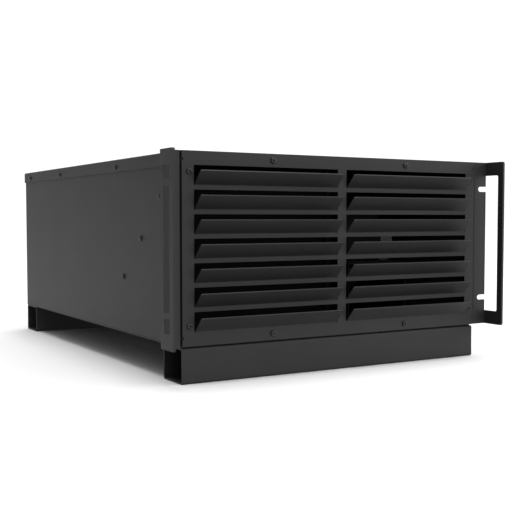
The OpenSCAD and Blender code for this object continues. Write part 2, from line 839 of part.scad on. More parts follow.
// Box channel over the return bends: web on the side of the fins, lip on the side away from them
module coil_channel(x, s, n, h) {
  translate([x, 0, 0]) mirror([s < 0 ? 1 : 0, 0, 0]) difference() {
    along_x(0, channel_w) square([coil_d, h], center = true);
    along_x(plate_t, channel_w - 2 * plate_t) square([coil_d - 2 * plate_t, h + 2], center = true);
    along_x(-1, plate_t + 2) for (p = coil_grid(n)) translate(p) circle(coil_tube_r + 0.1);
  }
}

module evaporator_fins() {
  color(aluminium) at_front() evap_frame() coil_fins(evap_x0, evap_x1, evap_tubes_n, evap_h);
}

module evaporator_tubes() {
  w = -(evap_tubes_n - 1) * tube_step / 2;
  color(copper) at_front() evap_frame() {
    coil_tubes(evap_x0, evap_x1, evap_tubes_n);
    pipe([[evap_x1, column_step / 2, w], [suction_x, column_step / 2, w], [suction_x, coil_d / 2 + 8, w]]);
    pipe([[evap_x1, -column_step / 2, w], [suction_x, -column_step / 2, w],
      [suction_x, -column_step / 2, -evap_h / 2 - 8]]);
  }
}

// End channels of the evaporator; the outer one takes the row of screws in the case's side
module evaporator_end_plates() {
  color(zinc) at_front() evap_frame() {
    difference() {
      coil_channel(evap_x0, -1, evap_tubes_n, evap_h);
      for (t = [-1:1])
        rod_x([seam - inner_x - 1, 0, t * coil_screw_step], shank_r + screw_gap, plate_t + 2);
    }
    difference() {
      coil_channel(evap_x1, 1, evap_tubes_n, evap_h);
      rod_y([suction_x, coil_d / 2 - 3, -(evap_tubes_n - 1) * tube_step / 2], pipe_r + seam, 5);
    }
  }
}

// ---------------------------------------------------------------- blower

// Outline of the scroll in Y and Z about the wheel's axis, shrunk by the wall
module scroll_outline(wall = 0) {
  turn = tongue_a + 90;
  mouth = blower_y - outlet_y + (wall > 0 ? 1 : 0);
  polygon(concat(
    [for (i = [0:38]) let (a = tongue_a - turn * i / 38, r = scroll_r - wall + scroll_rise * i / 38)
      [r * cos(a), r * sin(a)]],
    [[-mouth, wall - scroll_end], [-mouth, outlet_h - scroll_end - wall]]
  ));
}

module blower_place(x) {
  translate([x, blower_y, blower_z]) children();
}

module blower_housing() {
  foot_z = floor_z + seam - blower_z;
  color(zinc) at_front() blower_place(0) {
    along_x(scroll_x, scroll_w) difference() {
      scroll_outline();
      scroll_outline(scroll_t);
    }
    along_x(scroll_x, scroll_t) difference() {
      scroll_outline();
      circle(inlet_r);
    }
    along_x(scroll_x + scroll_w - scroll_t, scroll_t) difference() {
      scroll_outline();
      circle(blower_shaft_r + 8);
    }
    for (y = [outlet_y - blower_y + 12, -30])
      span([scroll_x, scroll_x + scroll_w], [y, y + 14], [foot_z, scroll_t - scroll_end]);
  }
}

// Bell-mouthed ring that leads the air from the divider into the wheel
module blower_inlet_ring() {
  x = sheet / 2 + seam;
  color(zinc) at_front() blower_place(x) rotate([0, 90, 0]) rotate_extrude() {
    translate([inlet_r, 3]) square([scroll_t, scroll_x - seam - x - 3]);
    translate([inlet_r + 3, 0]) square([10, scroll_t]);
    translate([inlet_r + 3, 3]) intersection() {
      difference() {
        circle(3);
        circle(3 - scroll_t);
      }
      translate([-3, -3]) square(3);
    }
  }
}

module blower_wheel() {
  color(plastic) at_front() blower_place(wheel_x) {
    along_x(0, wheel_w) for (i = [0:wheel_blades - 1]) rotate(i * 360 / wheel_blades) intersection() {
      translate([wheel_r - 5, 4]) difference() {
        circle(8);
        circle(7);
      }
      difference() {
        circle(wheel_r - 0.5);
        circle(wheel_r - 12);
      }
      translate([0, -9]) square([wheel_r, 11]);
    }
    for (x = [0, wheel_w - 2]) along_x(x, 2) difference() {
      circle(wheel_r);
      circle(x == 0 ? wheel_r - 11 : blower_shaft_r + 0.05);
    }
    along_x(wheel_w - 26, 25) difference() {
      circle(blower_shaft_r + 5);
      circle(blower_shaft_r + 0.05);
    }
  }
}

module blower_shaft() {
  x = wheel_x + wheel_w - 30;
  color(zinc) at_front() rod_x([x, blower_y, blower_z], blower_shaft_r, motor_x + blower_motor_l + 5 - x);
}

module blower_motor() {
  color("#5c5f61") at_front() blower_place(motor_x) difference() {
    union() {
      along_x(0, blower_motor_l) circle(blower_motor_r - 3);
      along_x(8, blower_motor_l - 16) circle(blower_motor_r);
      for (i = [0:11]) rotate([i * 30, 0, 0]) along_x(2, blower_motor_l - 4)
        translate([0, blower_motor_r - 6]) square([2, 5]);
    }
    along_x(-1, blower_motor_l + 2) circle(blower_shaft_r + 0.05);
  }
}

// Three-armed plate between the scroll's side and the motor
module blower_motor_bracket() {
  x = scroll_x + scroll_w + seam;
  color(zinc) at_front() blower_place(x) along_x(0, motor_x - seam - x) difference() {
    union() {
      circle(blower_motor_r - 4);
      for (a = [90, 210, 330]) rotate(a) translate([0, -8]) square([blower_motor_r + 22, 16]);
    }
    circle(blower_shaft_r + 8);
  }
}

// ---------------------------------------------------------------- refrigerant circuit

dome_r = comp_r * 1.25;
dome_h = dome_r - sqrt(dome_r * dome_r - comp_r * comp_r);
comp_plate_t = 3;
comp_top = comp_z + comp_plate_t + comp_h;
feet_xy = [for (a = [90, 210, 330]) foot_pcd_r * [cos(a), sin(a)]];

// Steel vessel with two spherical caps, standing on z = 0
module vessel(r, h, cap_r, cap_h) {
  rotate_extrude() {
    translate([0, cap_h]) square([r, h - 2 * cap_h]);
    for (m = [0, 1]) translate([0, h / 2]) mirror([0, m]) intersection() {
      translate([0, h / 2 - cap_r]) circle(cap_r);
      translate([0, h / 2 - cap_h - 1]) square([r, cap_h + 2]);
    }
  }
}

comp_pad_r = 13;
comp_leg_w = 20;
comp_seam_t = 1.5;
comp_seam_h = 4;
comp_hub_r = foot_pcd_r * 0.62;
comp_skirt_r = comp_r * 0.5;
cap_cover_r = 17;
stub_h = 6;
foot_hole_r = bolt_r + 0.5;

// Hermetic compressor: welded shell, three-legged base, terminal cap and discharge stub
module compressor() {
  color("#1d1d1f") at_front() translate([comp_x, comp_y, comp_z]) {
    translate([0, 0, comp_plate_t]) vessel(comp_r, comp_h, dome_r, dome_h);
    translate([0, 0, comp_plate_t + comp_h * 0.62]) cylinder(h = comp_seam_h, r = comp_r + comp_seam_t);
    cylinder(h = dome_h, r = comp_skirt_r);
    linear_extrude(comp_plate_t) difference() {
      union() {
        circle(comp_hub_r);
        for (p = feet_xy) translate(p) circle(comp_pad_r);
        for (a = [90, 210, 330]) rotate(a) translate([0, -comp_leg_w / 2]) square([foot_pcd_r, comp_leg_w]);
      }
      for (p = feet_xy) translate(p) circle(foot_hole_r);
    }
    translate([-8, 0, comp_plate_t + comp_h - dome_h]) cylinder(h = dome_h + stub_h, r = cap_cover_r);
    translate([comp_r / 2, 0, comp_plate_t + comp_h - dome_h]) cylinder(h = dome_h + stub_h, r = pipe_r + 1);
  }
}

module compressor_feet() {
  color(rubber) at_front() translate([comp_x, comp_y, floor_z]) for (p = feet_xy) translate(p)
    rotate_extrude() difference() {
      square([12, foot_h]);
      square([foot_hole_r, foot_h]);
      translate([13.5, foot_h / 2]) circle(3);
    }
}

module compressor_bolts() {
  nut_z = foot_h + seam + comp_plate_t + 0.1;
  color(zinc) at_front() translate([comp_x, comp_y, floor_z]) for (p = feet_xy) translate(p) {
    cylinder(h = nut_z + bolt_head_h + 4, r = bolt_r);
    translate([0, 0, nut_z]) cylinder(h = bolt_head_h, r = bolt_head_r, $fn = 6);
  }
}

acc_cap_r = acc_r * 1.2;
acc_cap_h = acc_cap_r - sqrt(acc_cap_r * acc_cap_r - acc_r * acc_r);

// Suction accumulator with its pipe to the compressor's shell
module accumulator() {
  foot = acc_z - 12;
  color("#1d1d1f") at_front() {
    translate([acc_x, acc_y, acc_z]) vessel(acc_r, acc_h, acc_cap_r, acc_cap_h);
    translate([acc_x, acc_y, acc_z + acc_h - 2]) cylinder(h = 10, r = pipe_r + 1);
    pipe([[acc_x, acc_y, acc_z + 4], [acc_x, acc_y, foot], [comp_x + comp_r + seam, acc_y, foot]]);
  }
}

// Strap that holds the accumulator to the compressor
module accumulator_clamp() {
  z = acc_z + acc_h * 0.6;
  color(zinc) at_front() difference() {
    union() {
      translate([acc_x, acc_y, z]) cylinder(h = 14, r = acc_r + seam + 2);
      translate([comp_x, acc_y - 6, z]) cube([acc_x - comp_x, 12, 14]);
    }
    translate([acc_x, acc_y, z - 1]) cylinder(h = 16, r = acc_r + seam);
    translate([comp_x, comp_y, z - 1]) cylinder(h = 16, r = comp_r + seam);
  }
}

drier_x = -inner_x + 26;
drier_y = cond_y - coil_d / 2 - 24;
drier_r = 14;
drier_z = [floor_z + 62, floor_z + 152];
cond_top_z = cond_z + (cond_tubes_n - 1) * tube_step / 2;
cond_out_y = cond_y - coil_d / 2 - 8;
liquid_x = cond_x1 + plate_t + bend_stub + pipe_r;
gas_x = liquid_x + 2 * pipe_r + 0.6;

// Copper filter drier with necked ends
module filter_drier() {
  neck = drier_r - pipe_r - 1;
  color(copper) at_front() translate([drier_x, drier_y, drier_z[0]]) {
    translate([0, 0, neck]) cylinder(h = drier_z[1] - drier_z[0] - 2 * neck, r = drier_r);
    cylinder(h = neck, r1 = pipe_r + 1, r2 = drier_r);
    translate([0, 0, drier_z[1] - drier_z[0] - neck]) cylinder(h = neck, r1 = drier_r, r2 = pipe_r + 1);
  }
}

module condenser_fins() {
  color(aluminium) at_front() cond_frame() coil_fins(cond_x0, cond_x1, cond_tubes_n, cond_h);
}

module condenser_tubes() {
  w = (cond_tubes_n - 1) * tube_step / 2;
  color(copper) at_front() cond_frame() {
    mirror([0, 0, 1]) coil_tubes(cond_x0, cond_x1, cond_tubes_n);
    pipe([[cond_x1, -column_step / 2, w], [liquid_x, -column_step / 2, w], [liquid_x, -coil_d / 2 - 8, w]]);
    pipe([[cond_x1, column_step / 2, w], [gas_x, column_step / 2, w], [gas_x, -coil_d / 2 - 8, w]]);
  }
}

module condenser_end_plates() {
  w = (cond_tubes_n - 1) * tube_step / 2;
  color(zinc) at_front() cond_frame() {
    coil_channel(cond_x0, -1, cond_tubes_n, cond_h);
    difference() {
      coil_channel(cond_x1, 1, cond_tubes_n, cond_h);
      for (x = [liquid_x, gas_x]) rod_y([x, -coil_d / 2 - 1, w], pipe_r + 0.25, 4);
    }
  }
}

baffle_x = cond_x1 + channel_w + seam;

// Wall between the fans and the air intake
module condenser_baffle() {
  color(zinc) at_front() {
    span([baffle_x, baffle_x + sheet], [cond_y - coil_d / 2, rear_y - fold - 2], [floor_z + seam, ceiling_z - seam]);
    span([baffle_x, baffle_x + fold], [cond_y - coil_d / 2, rear_y - fold - 2],
      [ceiling_z - seam - sheet, ceiling_z - seam]);
  }
}

// ---------------------------------------------------------------- pipes

module discharge_pipe() {
  z = ceiling_z - pipe_r - 4;
  x = comp_x + comp_r / 2;
  color(copper) at_front() pipe([
    [x, comp_y, comp_top + 6 + seam], [x, comp_y, z], [gas_x, comp_y, z],
    [gas_x, cond_out_y - 24, z], [gas_x, cond_out_y - 24, cond_top_z], [gas_x, cond_out_y - seam, cond_top_z]
  ]);
}

module liquid_pipe() {
  color(copper) at_front() pipe([
    [liquid_x, cond_out_y - seam, cond_top_z], [liquid_x, drier_y, cond_top_z],
    [drier_x, drier_y, cond_top_z], [drier_x, drier_y, drier_z[1] + seam]
  ]);
}

module capillary_pipe() {
  hole = bulkhead_holes[1];
  run_y = hot_y + 10;
  near = bulkhead_y - 20;
  color(copper) at_front() pipe([
    [drier_x, drier_y, drier_z[0] - seam], [drier_x, drier_y, hole[1]], [drier_x, run_y, hole[1]],
    [hole[0], run_y, hole[1]], [hole[0], near, hole[1]], on_evap(suction_x, -column_step / 2, -evap_h / 2 - 20),
    on_evap(suction_x, -column_step / 2, -evap_h / 2 - 8 - seam)
  ], cap_r);
}

module suction_pipe() {
  riser_y = hot_y + 20;
  high = ceiling_z - 3 * pipe_r - 8;
  w = -(evap_tubes_n - 1) * tube_step / 2;
  color(copper) at_front() pipe([
    on_evap(suction_x, coil_d / 2 + 8 + seam, w), suction_turn, [suction_x, riser_y, suction_turn[2]],
    [suction_x, riser_y, high], [acc_x, riser_y, high], [acc_x, acc_y, high],
    [acc_x, acc_y, acc_z + acc_h + 8 + seam]
  ]);
}

// ---------------------------------------------------------------- condenser fans

stator_y = fan_y + fan_d - 5;

// Square axial fan frame: two flanges, a round duct, four struts and the bearing boss
module fan_frame(x) {
  color(plastic) at_front() difference() {
    union() {
      for (y = [fan_y, fan_y + fan_d - 4]) along_y(y, 4) translate([x, mid_z]) difference() {
        round_rect(fan_size, fan_size, 7);
        circle(fan_bore);
      }
      along_y(fan_y, fan_d) translate([x, mid_z]) difference() {
        circle(fan_bore + 2.5);
        circle(fan_bore);
      }
      along_y(stator_y, 5) translate([x, mid_z]) {
        circle(hub_r);
        for (a = [45:90:315]) rotate(a) translate([hub_r - 2, -3]) square([fan_bore - hub_r + 3, 6]);
      }
      rod_y([x, fan_y + 12, mid_z], fan_shaft_r + 4, stator_y - fan_y - 11);
    }
    rod_y([x, fan_y + 11, mid_z], fan_shaft_r + 0.05, fan_d);
    holes_y([for (c = fan_corners) [x + c[0], mid_z + c[1]]], fan_y, fan_d);
  }
}

// Cambered blade, drawn across the radius and trimmed between hub and tip
module fan_blade() {
  camber = 70;
  half = 15;
  intersection() {
    translate([hub_r - 4, 0, 0]) along_x(0, fan_r) rotate(90 - fan_pitch) translate([-camber, 0])
      intersection() {
        difference() {
          circle(camber + 1.8);
          circle(camber);
        }
        polygon([[0, 0], 99 * [cos(half), sin(half)], 99 * [cos(half), -sin(half)]]);
      }
    along_y(-30, 60) difference() {
      circle(fan_r);
      circle(hub_r - 1);
    }
  }
}

// Rotor: cup-shaped hub on its shaft with swept blades
module fan_rotor(x) {
  color(plastic) at_front() {
    translate([x, hub_y + hub_l / 2, mid_z])
      for (i = [0:fan_blades - 1]) rotate([0, i * 360 / fan_blades, 0]) fan_blade();
    along_y(hub_y, hub_l) translate([x, mid_z]) difference() {
      circle(hub_r);
      circle(hub_r - 2);
    }
    along_y(hub_y, 2) translate([x, mid_z]) circle(hub_r);
    rod_y([x, hub_y + 1, mid_z], fan_shaft_r, stator_y - hub_y + 2);
  }
}

module left_fan_frame() {
  fan_frame(fan_x[0]);
}

module right_fan_frame() {
  fan_frame(fan_x[1]);
}

module left_fan_rotor() {
  fan_rotor(fan_x[0]);
}

module right_fan_rotor() {
  fan_rotor(fan_x[1]);
}

guard_y = body_d + seam;
guard_tab = 2 * wire_r + 0.1;

// Wire finger guard: rings on two crossed wires that end in screw eyes
module fan_guard(x) {
  reach = norm(fan_corners[0]);
  step = (fan_bore - 6) / 5;
  color(coat_dark) at_front() translate([x, guard_y, mid_z]) difference() {
    union() {
      for (i = [1:5]) translate([0, 2.6 * wire_r, 0]) rotate([90, 0, 0])
        rotate_extrude() translate([i * step + 4, 0]) circle(wire_r);
      for (a = [45, 135]) rotate([0, a, 0]) rod_x([-reach, wire_r, 0], wire_r, 2 * reach);
      for (c = fan_corners) rod_y([c[0], 0, c[1]], head_r + 1.4, guard_tab);
    }
    for (c = fan_corners) rod_y([c[0], -1, c[1]], shank_r + screw_gap, guard_tab + 9);
  }
}

module left_fan_guard() {
  fan_guard(fan_x[0]);
}

module right_fan_guard() {
  fan_guard(fan_x[1]);
}

module fan_screws() {
  color(zinc) at_front() for (x = fan_x, c = fan_corners)
    translate([x + c[0], guard_y + guard_tab, mid_z + c[1]]) rotate([-90, 0, 0]) pan_screw(shank_l + 4);
}

// ---------------------------------------------------------------- electrical parts

ebox_wall = 1.2;
ebox_z = floor_z + seam;
board_z = ebox_z + ebox_wall + 12;
board_t = 1.6;
post_r = 4;

// Open-topped box with a return flange and two cable holes towards the rear
module electrical_box() {
  color(zinc) at_front() difference() {
    union() {
      span([ebox_x, ebox_x + ebox_w], [ebox_y, ebox_y + ebox_d], [ebox_z, ebox_z + ebox_h]);
    }
    difference() {
      span([ebox_x + ebox_wall, ebox_x + ebox_w - ebox_wall], [ebox_y + ebox_wall, ebox_y + ebox_d - ebox_wall],
        [ebox_z + ebox_wall, ebox_z + ebox_h + 1]);
      for (p = board_posts) translate([p[0], p[1], ebox_z]) cylinder(h = board_z - seam - ebox_z, r = post_r);
    }
    for (x = [ebox_x + 20, ebox_x + 44])
      rod_y([x, ebox_y + ebox_d - 3, ebox_z + ebox_h - 20], 7, 6);
  }
}

board_x = [ebox_x + ebox_wall + 3, ebox_x + ebox_w - ebox_wall - 3];
board_y = [ebox_y + ebox_wall + 3, ebox_y + ebox_d - ebox_wall - 34];
board_posts = [for (x = [board_x[0] + 6, board_x[1] - 6], y = [board_y[0] + 6, board_y[1] - 6]) [x, y]];

module electrical_box_lid() {
  lip = ebox_wall + seam;
  high = ebox_z + ebox_h + seam;
  color(zinc) at_front() difference() {
    span([ebox_x - lip, ebox_x + ebox_w + lip], [ebox_y - lip, ebox_y + ebox_d + lip], [high - 10, high + ebox_wall]);
    span([ebox_x - seam, ebox_x + ebox_w + seam], [ebox_y - seam, ebox_y + ebox_d + seam], [high - 11, high]);
  }
}

// Circuit board with a relay row, a transformer and a terminal strip
module control_board() {
  top = board_z + board_t;
  w = board_x[1] - board_x[0];
  d = board_y[1] - board_y[0];
  color("#2f5d3f") at_front() {
    span(board_x, board_y, [board_z, top]);
    for (i = [0:2]) span([board_x[0] + 10 + i * w / 4, board_x[0] + 10 + i * w / 4 + w / 5],
      [board_y[0] + 14, board_y[0] + 14 + d / 4], [board_z + 1, top + 15]);
    span([board_x[1] - 12 - w / 3, board_x[1] - 12], [board_y[1] - 12 - d / 3, board_y[1] - 12], [board_z + 1, top + 26]);
    for (i = [0:4]) span([board_x[0] + 8 + i * 6, board_x[0] + 13 + i * 6],
      [board_y[1] - 18, board_y[1] - 8], [board_z + 1, top + 11]);
  }
}

cap_can_r = 14;

// Metal can of the run capacitor, with two terminals
module run_capacitor() {
  x = ebox_x + ebox_w / 2;
  y = ebox_y + ebox_d - ebox_wall - cap_can_r - 2;
  z = ebox_z + ebox_wall + seam;
  color(aluminium) at_front() translate([x, y, z]) {
    cylinder(h = 70, r = cap_can_r);
    translate([0, 0, 70]) cylinder(h = 2, r = cap_can_r - 1.5);
    for (s = [-1, 1]) translate([s * 5 - 0.4, -3, 70]) cube([0.8, 6, 10]);
  }
}

inlet_flange = 4;
inlet_depth = 24;
pocket_depth = 15;

// Three-pin power inlet, pushed into the rear panel from outside
module power_inlet() {
  color(plastic) at_front() translate([inlet_x, body_d, inlet_z]) {
    difference() {
      union() {
        along_y(0.1, 2) round_rect(inlet_w + 2 * inlet_flange, inlet_h + 2 * inlet_flange, 2);
        along_y(-inlet_depth, inlet_depth + 1) square([inlet_w, inlet_h], center = true);
      }
      along_y(2.1 - pocket_depth, pocket_depth + 1) difference() {
        square([inlet_w - 4, inlet_h - 4], center = true);
        for (s = [-1, 1]) translate([s * (inlet_w / 2 - 2), inlet_h / 2 - 2]) rotate(45)
          square([5, 5], center = true);
      }
    }
    for (p = [[-7, -1.5], [0, 2.5], [7, -1.5]])
      translate([p[0] - 1, 2.1 - pocket_depth - 1, p[1] - 2]) cube([2, pocket_depth - 3, 4]);
  }
}

rocker_w = switch_w - 5;
rocker_r = (switch_h - 5) / 2;
rocker_y = body_d - 4;
rocker_pin_r = 1.2;
bezel_depth = 16;

// Switch housing with a raised rim and a bearing in each cheek
module switch_bezel() {
  color(plastic) at_front() difference() {
    union() {
      translate([inlet_x, body_d, switch_z]) along_y(0.1, 2) round_rect(switch_w + 6, switch_h + 6, 1.5);
      translate([inlet_x, body_d, switch_z]) along_y(-bezel_depth, bezel_depth + 1)
        square([switch_w, switch_h], center = true);
    }
    translate([inlet_x, body_d, switch_z]) along_y(-bezel_depth + 2, bezel_depth + 2)
      square([rocker_w + 2 * seam, 2 * rocker_r + 2 * seam], center = true);
    rod_x([inlet_x - rocker_w / 2 - 2.5, rocker_y, switch_z], rocker_pin_r + 0.05, rocker_w + 5);
  }
}

// Rocker, pushed in at its lower half while the switch is off
module switch_rocker() {
  crown = 5.6;
  valley = 4.6;
  color("#262626") at_front() translate([inlet_x, rocker_y, switch_z]) rotate([-rocker_throw, 0, 0]) {
    along_x(-rocker_w / 2, rocker_w) intersection() {
      circle(rocker_r - 0.1);
      polygon([[-3, -rocker_r], [crown, -rocker_r], [valley, 0], [crown, rocker_r], [-3, rocker_r]]);
    }
    rod_x([-rocker_w / 2 - 2, 0, 0], rocker_pin_r, rocker_w + 4);
  }
}

// ---------------------------------------------------------------- nodes

front_foot_tube();
rear_foot_tube();
foot_tube_bolts();
base_pan();
left_side_panel();
right_side_panel();
top_cover();
rear_panel();
front_frame();
front_louvre_panel();
left_rack_ear();
right_rack_ear();
front_panel_screws();
side_screws();
cover_screws();
rear_panel_screws();
bulkhead_panel();
bulkhead_foam();
plenum_divider();
filter_frame();
filter_mesh();
drip_tray();
drain_spout();
evaporator_fins();
evaporator_tubes();
evaporator_end_plates();
blower_housing();
blower_inlet_ring();
blower_wheel();
blower_shaft();
blower_motor();
blower_motor_bracket();
compressor();
compressor_feet();
compressor_bolts();
accumulator();
accumulator_clamp();
filter_drier();
condenser_fins();
condenser_tubes();
condenser_end_plates();
condenser_baffle();
discharge_pipe();
liquid_pipe();
capillary_pipe();
suction_pipe();
left_fan_frame();
right_fan_frame();
left_fan_rotor();
right_fan_rotor();
left_fan_guard();
right_fan_guard();
fan_screws();
electrical_box();
electrical_box_lid();
control_board();
run_capacitor();
power_inlet();
switch_bezel();
switch_rocker();
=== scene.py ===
# %% [markdown]
# # An in-row cooling unit, dressed in Blender
# The real object is a folded steel case that slides into a server rack on two box
# tubes. A louvred front, two bent rack ears with hand windows, a plain cover and a
# rear panel with two fans close it. Here the exact CAD solids come in as a fixed
# frame, and each step after that gives one piece its real edges or its real finish.

# %% Load the fixed frame
import json
import math

import bmesh
import bpy
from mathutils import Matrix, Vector

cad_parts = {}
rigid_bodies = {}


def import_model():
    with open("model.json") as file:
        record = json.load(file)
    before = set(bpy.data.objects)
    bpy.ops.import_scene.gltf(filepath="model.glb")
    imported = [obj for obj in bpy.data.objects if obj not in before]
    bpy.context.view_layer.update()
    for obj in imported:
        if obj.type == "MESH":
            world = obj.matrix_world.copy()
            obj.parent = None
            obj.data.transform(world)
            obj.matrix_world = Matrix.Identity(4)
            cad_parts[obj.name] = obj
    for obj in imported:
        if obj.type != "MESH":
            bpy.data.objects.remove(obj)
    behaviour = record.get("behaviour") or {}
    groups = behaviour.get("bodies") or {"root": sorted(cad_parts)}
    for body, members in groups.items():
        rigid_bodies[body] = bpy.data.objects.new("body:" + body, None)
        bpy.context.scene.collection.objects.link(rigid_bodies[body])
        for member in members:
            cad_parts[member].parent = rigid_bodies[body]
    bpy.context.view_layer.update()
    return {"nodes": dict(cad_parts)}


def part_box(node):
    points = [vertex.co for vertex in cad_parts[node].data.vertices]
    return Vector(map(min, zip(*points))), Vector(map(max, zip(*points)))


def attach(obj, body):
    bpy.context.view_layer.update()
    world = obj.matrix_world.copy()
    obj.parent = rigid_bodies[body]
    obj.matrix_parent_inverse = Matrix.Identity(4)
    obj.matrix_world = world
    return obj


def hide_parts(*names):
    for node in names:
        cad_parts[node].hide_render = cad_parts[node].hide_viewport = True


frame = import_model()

nodes = frame["nodes"]

# %% [markdown]
# ## Measures that the pieces share
# A sheet-metal shop works in millimetres, and Blender in metres, so one factor turns
# the one into the other. The plane of the front panel and its height come from the
# CAD node's own box, and the sheet sizes below repeat the ones the case was drawn with.

# %% Shared measures
MM = 0.001
BODY = "chassis"

panel_t = 1.6 * MM
panel_low, panel_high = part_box("front_louvre_panel")
front_y = panel_high.y - panel_t
panel_z, top_z = panel_low.z, panel_high.z
mid_z = (panel_z + top_z) / 2
half_w = panel_high.x
print("front plane at y =", round(front_y, 5), "panel from z", round(panel_z, 5),
      "to", round(top_z, 5))

# %% [markdown]
# ## A helper for procedural finishes
# A finish is a Principled shader fed by noise in Object coordinates. Three things make
# paint or metal read as real: a slow change of tone over a whole panel, a fine grain in
# the bump, and roughness that is not the same everywhere. Constants sit on the shader's
# own sockets, and only what varies over the surface is linked.

# %% Node helpers
def new_finish(name, metallic=0.0, specular=0.5, coat=0.0, coat_rough=0.2):
    """An empty Principled finish, its node tree and its shader."""
    finish = bpy.data.materials.new(name)
    finish.use_nodes = True
    tree = finish.node_tree
    shader = tree.nodes["Principled BSDF"]
    shader.inputs["Metallic"].default_value = metallic
    shader.inputs["Specular IOR Level"].default_value = specular
    shader.inputs["Coat Weight"].default_value = coat
    shader.inputs["Coat Roughness"].default_value = coat_rough
    return finish, tree, shader


def grain(tree, scale, detail=3.0, rough=0.5, stretch=(1, 1, 1)):
    """Noise in Object coordinates. scale is in cells per metre."""
    place = tree.nodes.new("ShaderNodeTexCoord")
    turn = tree.nodes.new("ShaderNodeMapping")
    turn.inputs["Scale"].default_value = stretch
    noise = tree.nodes.new("ShaderNodeTexNoise")
    noise.inputs["Scale"].default_value = scale
    noise.inputs["Detail"].default_value = detail
    noise.inputs["Roughness"].default_value = rough
    tree.links.new(place.outputs["Object"], turn.inputs["Vector"])
    tree.links.new(turn.outputs["Vector"], noise.inputs["Vector"])
    return noise.outputs["Fac"]


def tones(tree, factor, dark, light, low=0.35, high=0.65):
    """A colour that runs from dark to light as the factor goes from low to high."""
    ramp = tree.nodes.new("ShaderNodeValToRGB")
    ramp.color_ramp.elements[0].position = low
    ramp.color_ramp.elements[1].position = high
    ramp.color_ramp.elements[0].color = (*dark, 1)
    ramp.color_ramp.elements[1].color = (*light, 1)
    tree.links.new(factor, ramp.inputs["Fac"])
    return ramp.outputs["Color"]


def spread(tree, factor, low, high):
    """The factor stretched to a range of plain numbers, for roughness."""
    reach = tree.nodes.new("ShaderNodeMapRange")
    reach.inputs["From Min"].default_value = 0.3
    reach.inputs["From Max"].default_value = 0.7
    reach.inputs["To Min"].default_value = low
    reach.inputs["To Max"].default_value = high
    tree.links.new(factor, reach.inputs["Value"])
    return reach.outputs["Result"]


def relief(tree, shader, height, strength, depth):
    """Bump of the given depth in metres under the shader."""
    bump = tree.nodes.new("ShaderNodeBump")
    bump.inputs["Strength"].default_value = strength
    bump.inputs["Distance"].default_value = depth
    tree.links.new(height, bump.inputs["Height"])
    tree.links.new(bump.outputs["Normal"], shader.inputs["Normal"])


def grained(name, dark, light, rough, tone_scale, grain_scale, depth,
            strength=0.5, stretch=(1, 1, 1), **shading):
    """A finish with drifting tone, varying roughness and a fine grained bump."""
    finish, tree, shader = new_finish(name, **shading)
    drift = grain(tree, tone_scale, detail=4.0, stretch=stretch)
    fine = grain(tree, grain_scale, detail=2.0, stretch=stretch)
    tree.links.new(tones(tree, drift, dark, light), shader.inputs["Base Color"])
    tree.links.new(spread(tree, fine, *rough), shader.inputs["Roughness"])
    relief(tree, shader, fine, strength, depth)
    return finish


print("finish helpers ready")

# %% [markdown]
# ## Powder coat
# The case, ears and tubes are powder-coated: dry paint powder melts into a tough satin
# skin that is never quite smooth. The skin keeps a fine orange peel, about a millimetre
# from bump to bump, and its charcoal tone drifts a little from panel to panel.

# %% Powder-coat finishes
orange_peel = {"tone_scale": 9, "grain_scale": 1100, "depth": 0.00006, "strength": 0.35}
powder_coat = grained("powder_coat", (0.0255, 0.0255, 0.0260), (0.0300, 0.0300, 0.0305),
                      (0.46, 0.58), specular=0.26, **orange_peel)
# A near-black copy of the powder coat: its dark tone is painted shade for the pieces deep inside
# the case.
interior_shade_coat = grained("interior_painted_shade_coat", (0.0060, 0.0060, 0.0062), (0.0090, 0.0090, 0.0093),
                     (0.56, 0.70), specular=0.10, **orange_peel)
print("powder coats:", powder_coat.name, interior_shade_coat.name)

# %% [markdown]
# ## Metals
# Inside the case the metal keeps its raw finish. Zinc plate has a cloudy spangle, and
# drawn copper and rolled aluminium have a grain that runs one way. Stretched noise
# gives that grain without any image, and it holds up at any distance.

# %% Metal finishes
zinc_plate = grained("zinc_plate", (0.42, 0.43, 0.44), (0.60, 0.61, 0.62), (0.26, 0.44),
                     60, 900, 0.00003, metallic=1.0)
screw_black = grained("blackened_screw", (0.018, 0.018, 0.019), (0.030, 0.030, 0.031),
                      (0.34, 0.5), 200, 1500, 0.00002, metallic=0.4)
rolled_aluminium = grained("rolled_aluminium", (0.66, 0.67, 0.68), (0.80, 0.81, 0.82),
                           (0.24, 0.40), 30, 700, 0.00003, stretch=(1, 0.15, 0.15), metallic=1.0)
drawn_copper = grained("drawn_copper", (0.50, 0.22, 0.12), (0.72, 0.36, 0.21), (0.22, 0.42),
                       45, 600, 0.00002, stretch=(0.2, 1, 1), metallic=1.0)
motor_paint = grained("motor_paint", (0.16, 0.17, 0.18), (0.21, 0.22, 0.23), (0.40, 0.55),
                      25, 1200, 0.00004)
black_enamel = grained("black_enamel", (0.010, 0.010, 0.011), (0.018, 0.018, 0.019),
                       (0.18, 0.34), 20, 500, 0.00003, coat=0.3)
print("metals:", zinc_plate.name, rolled_aluminium.name, drawn_copper.name)

# %% [markdown]
# ## Plastics and soft stuff
# Black plastic is softly mottled from its mould, and foam and filter cloth are open
# and matt. The cloth is woven, so two crossed waves stand for its threads.

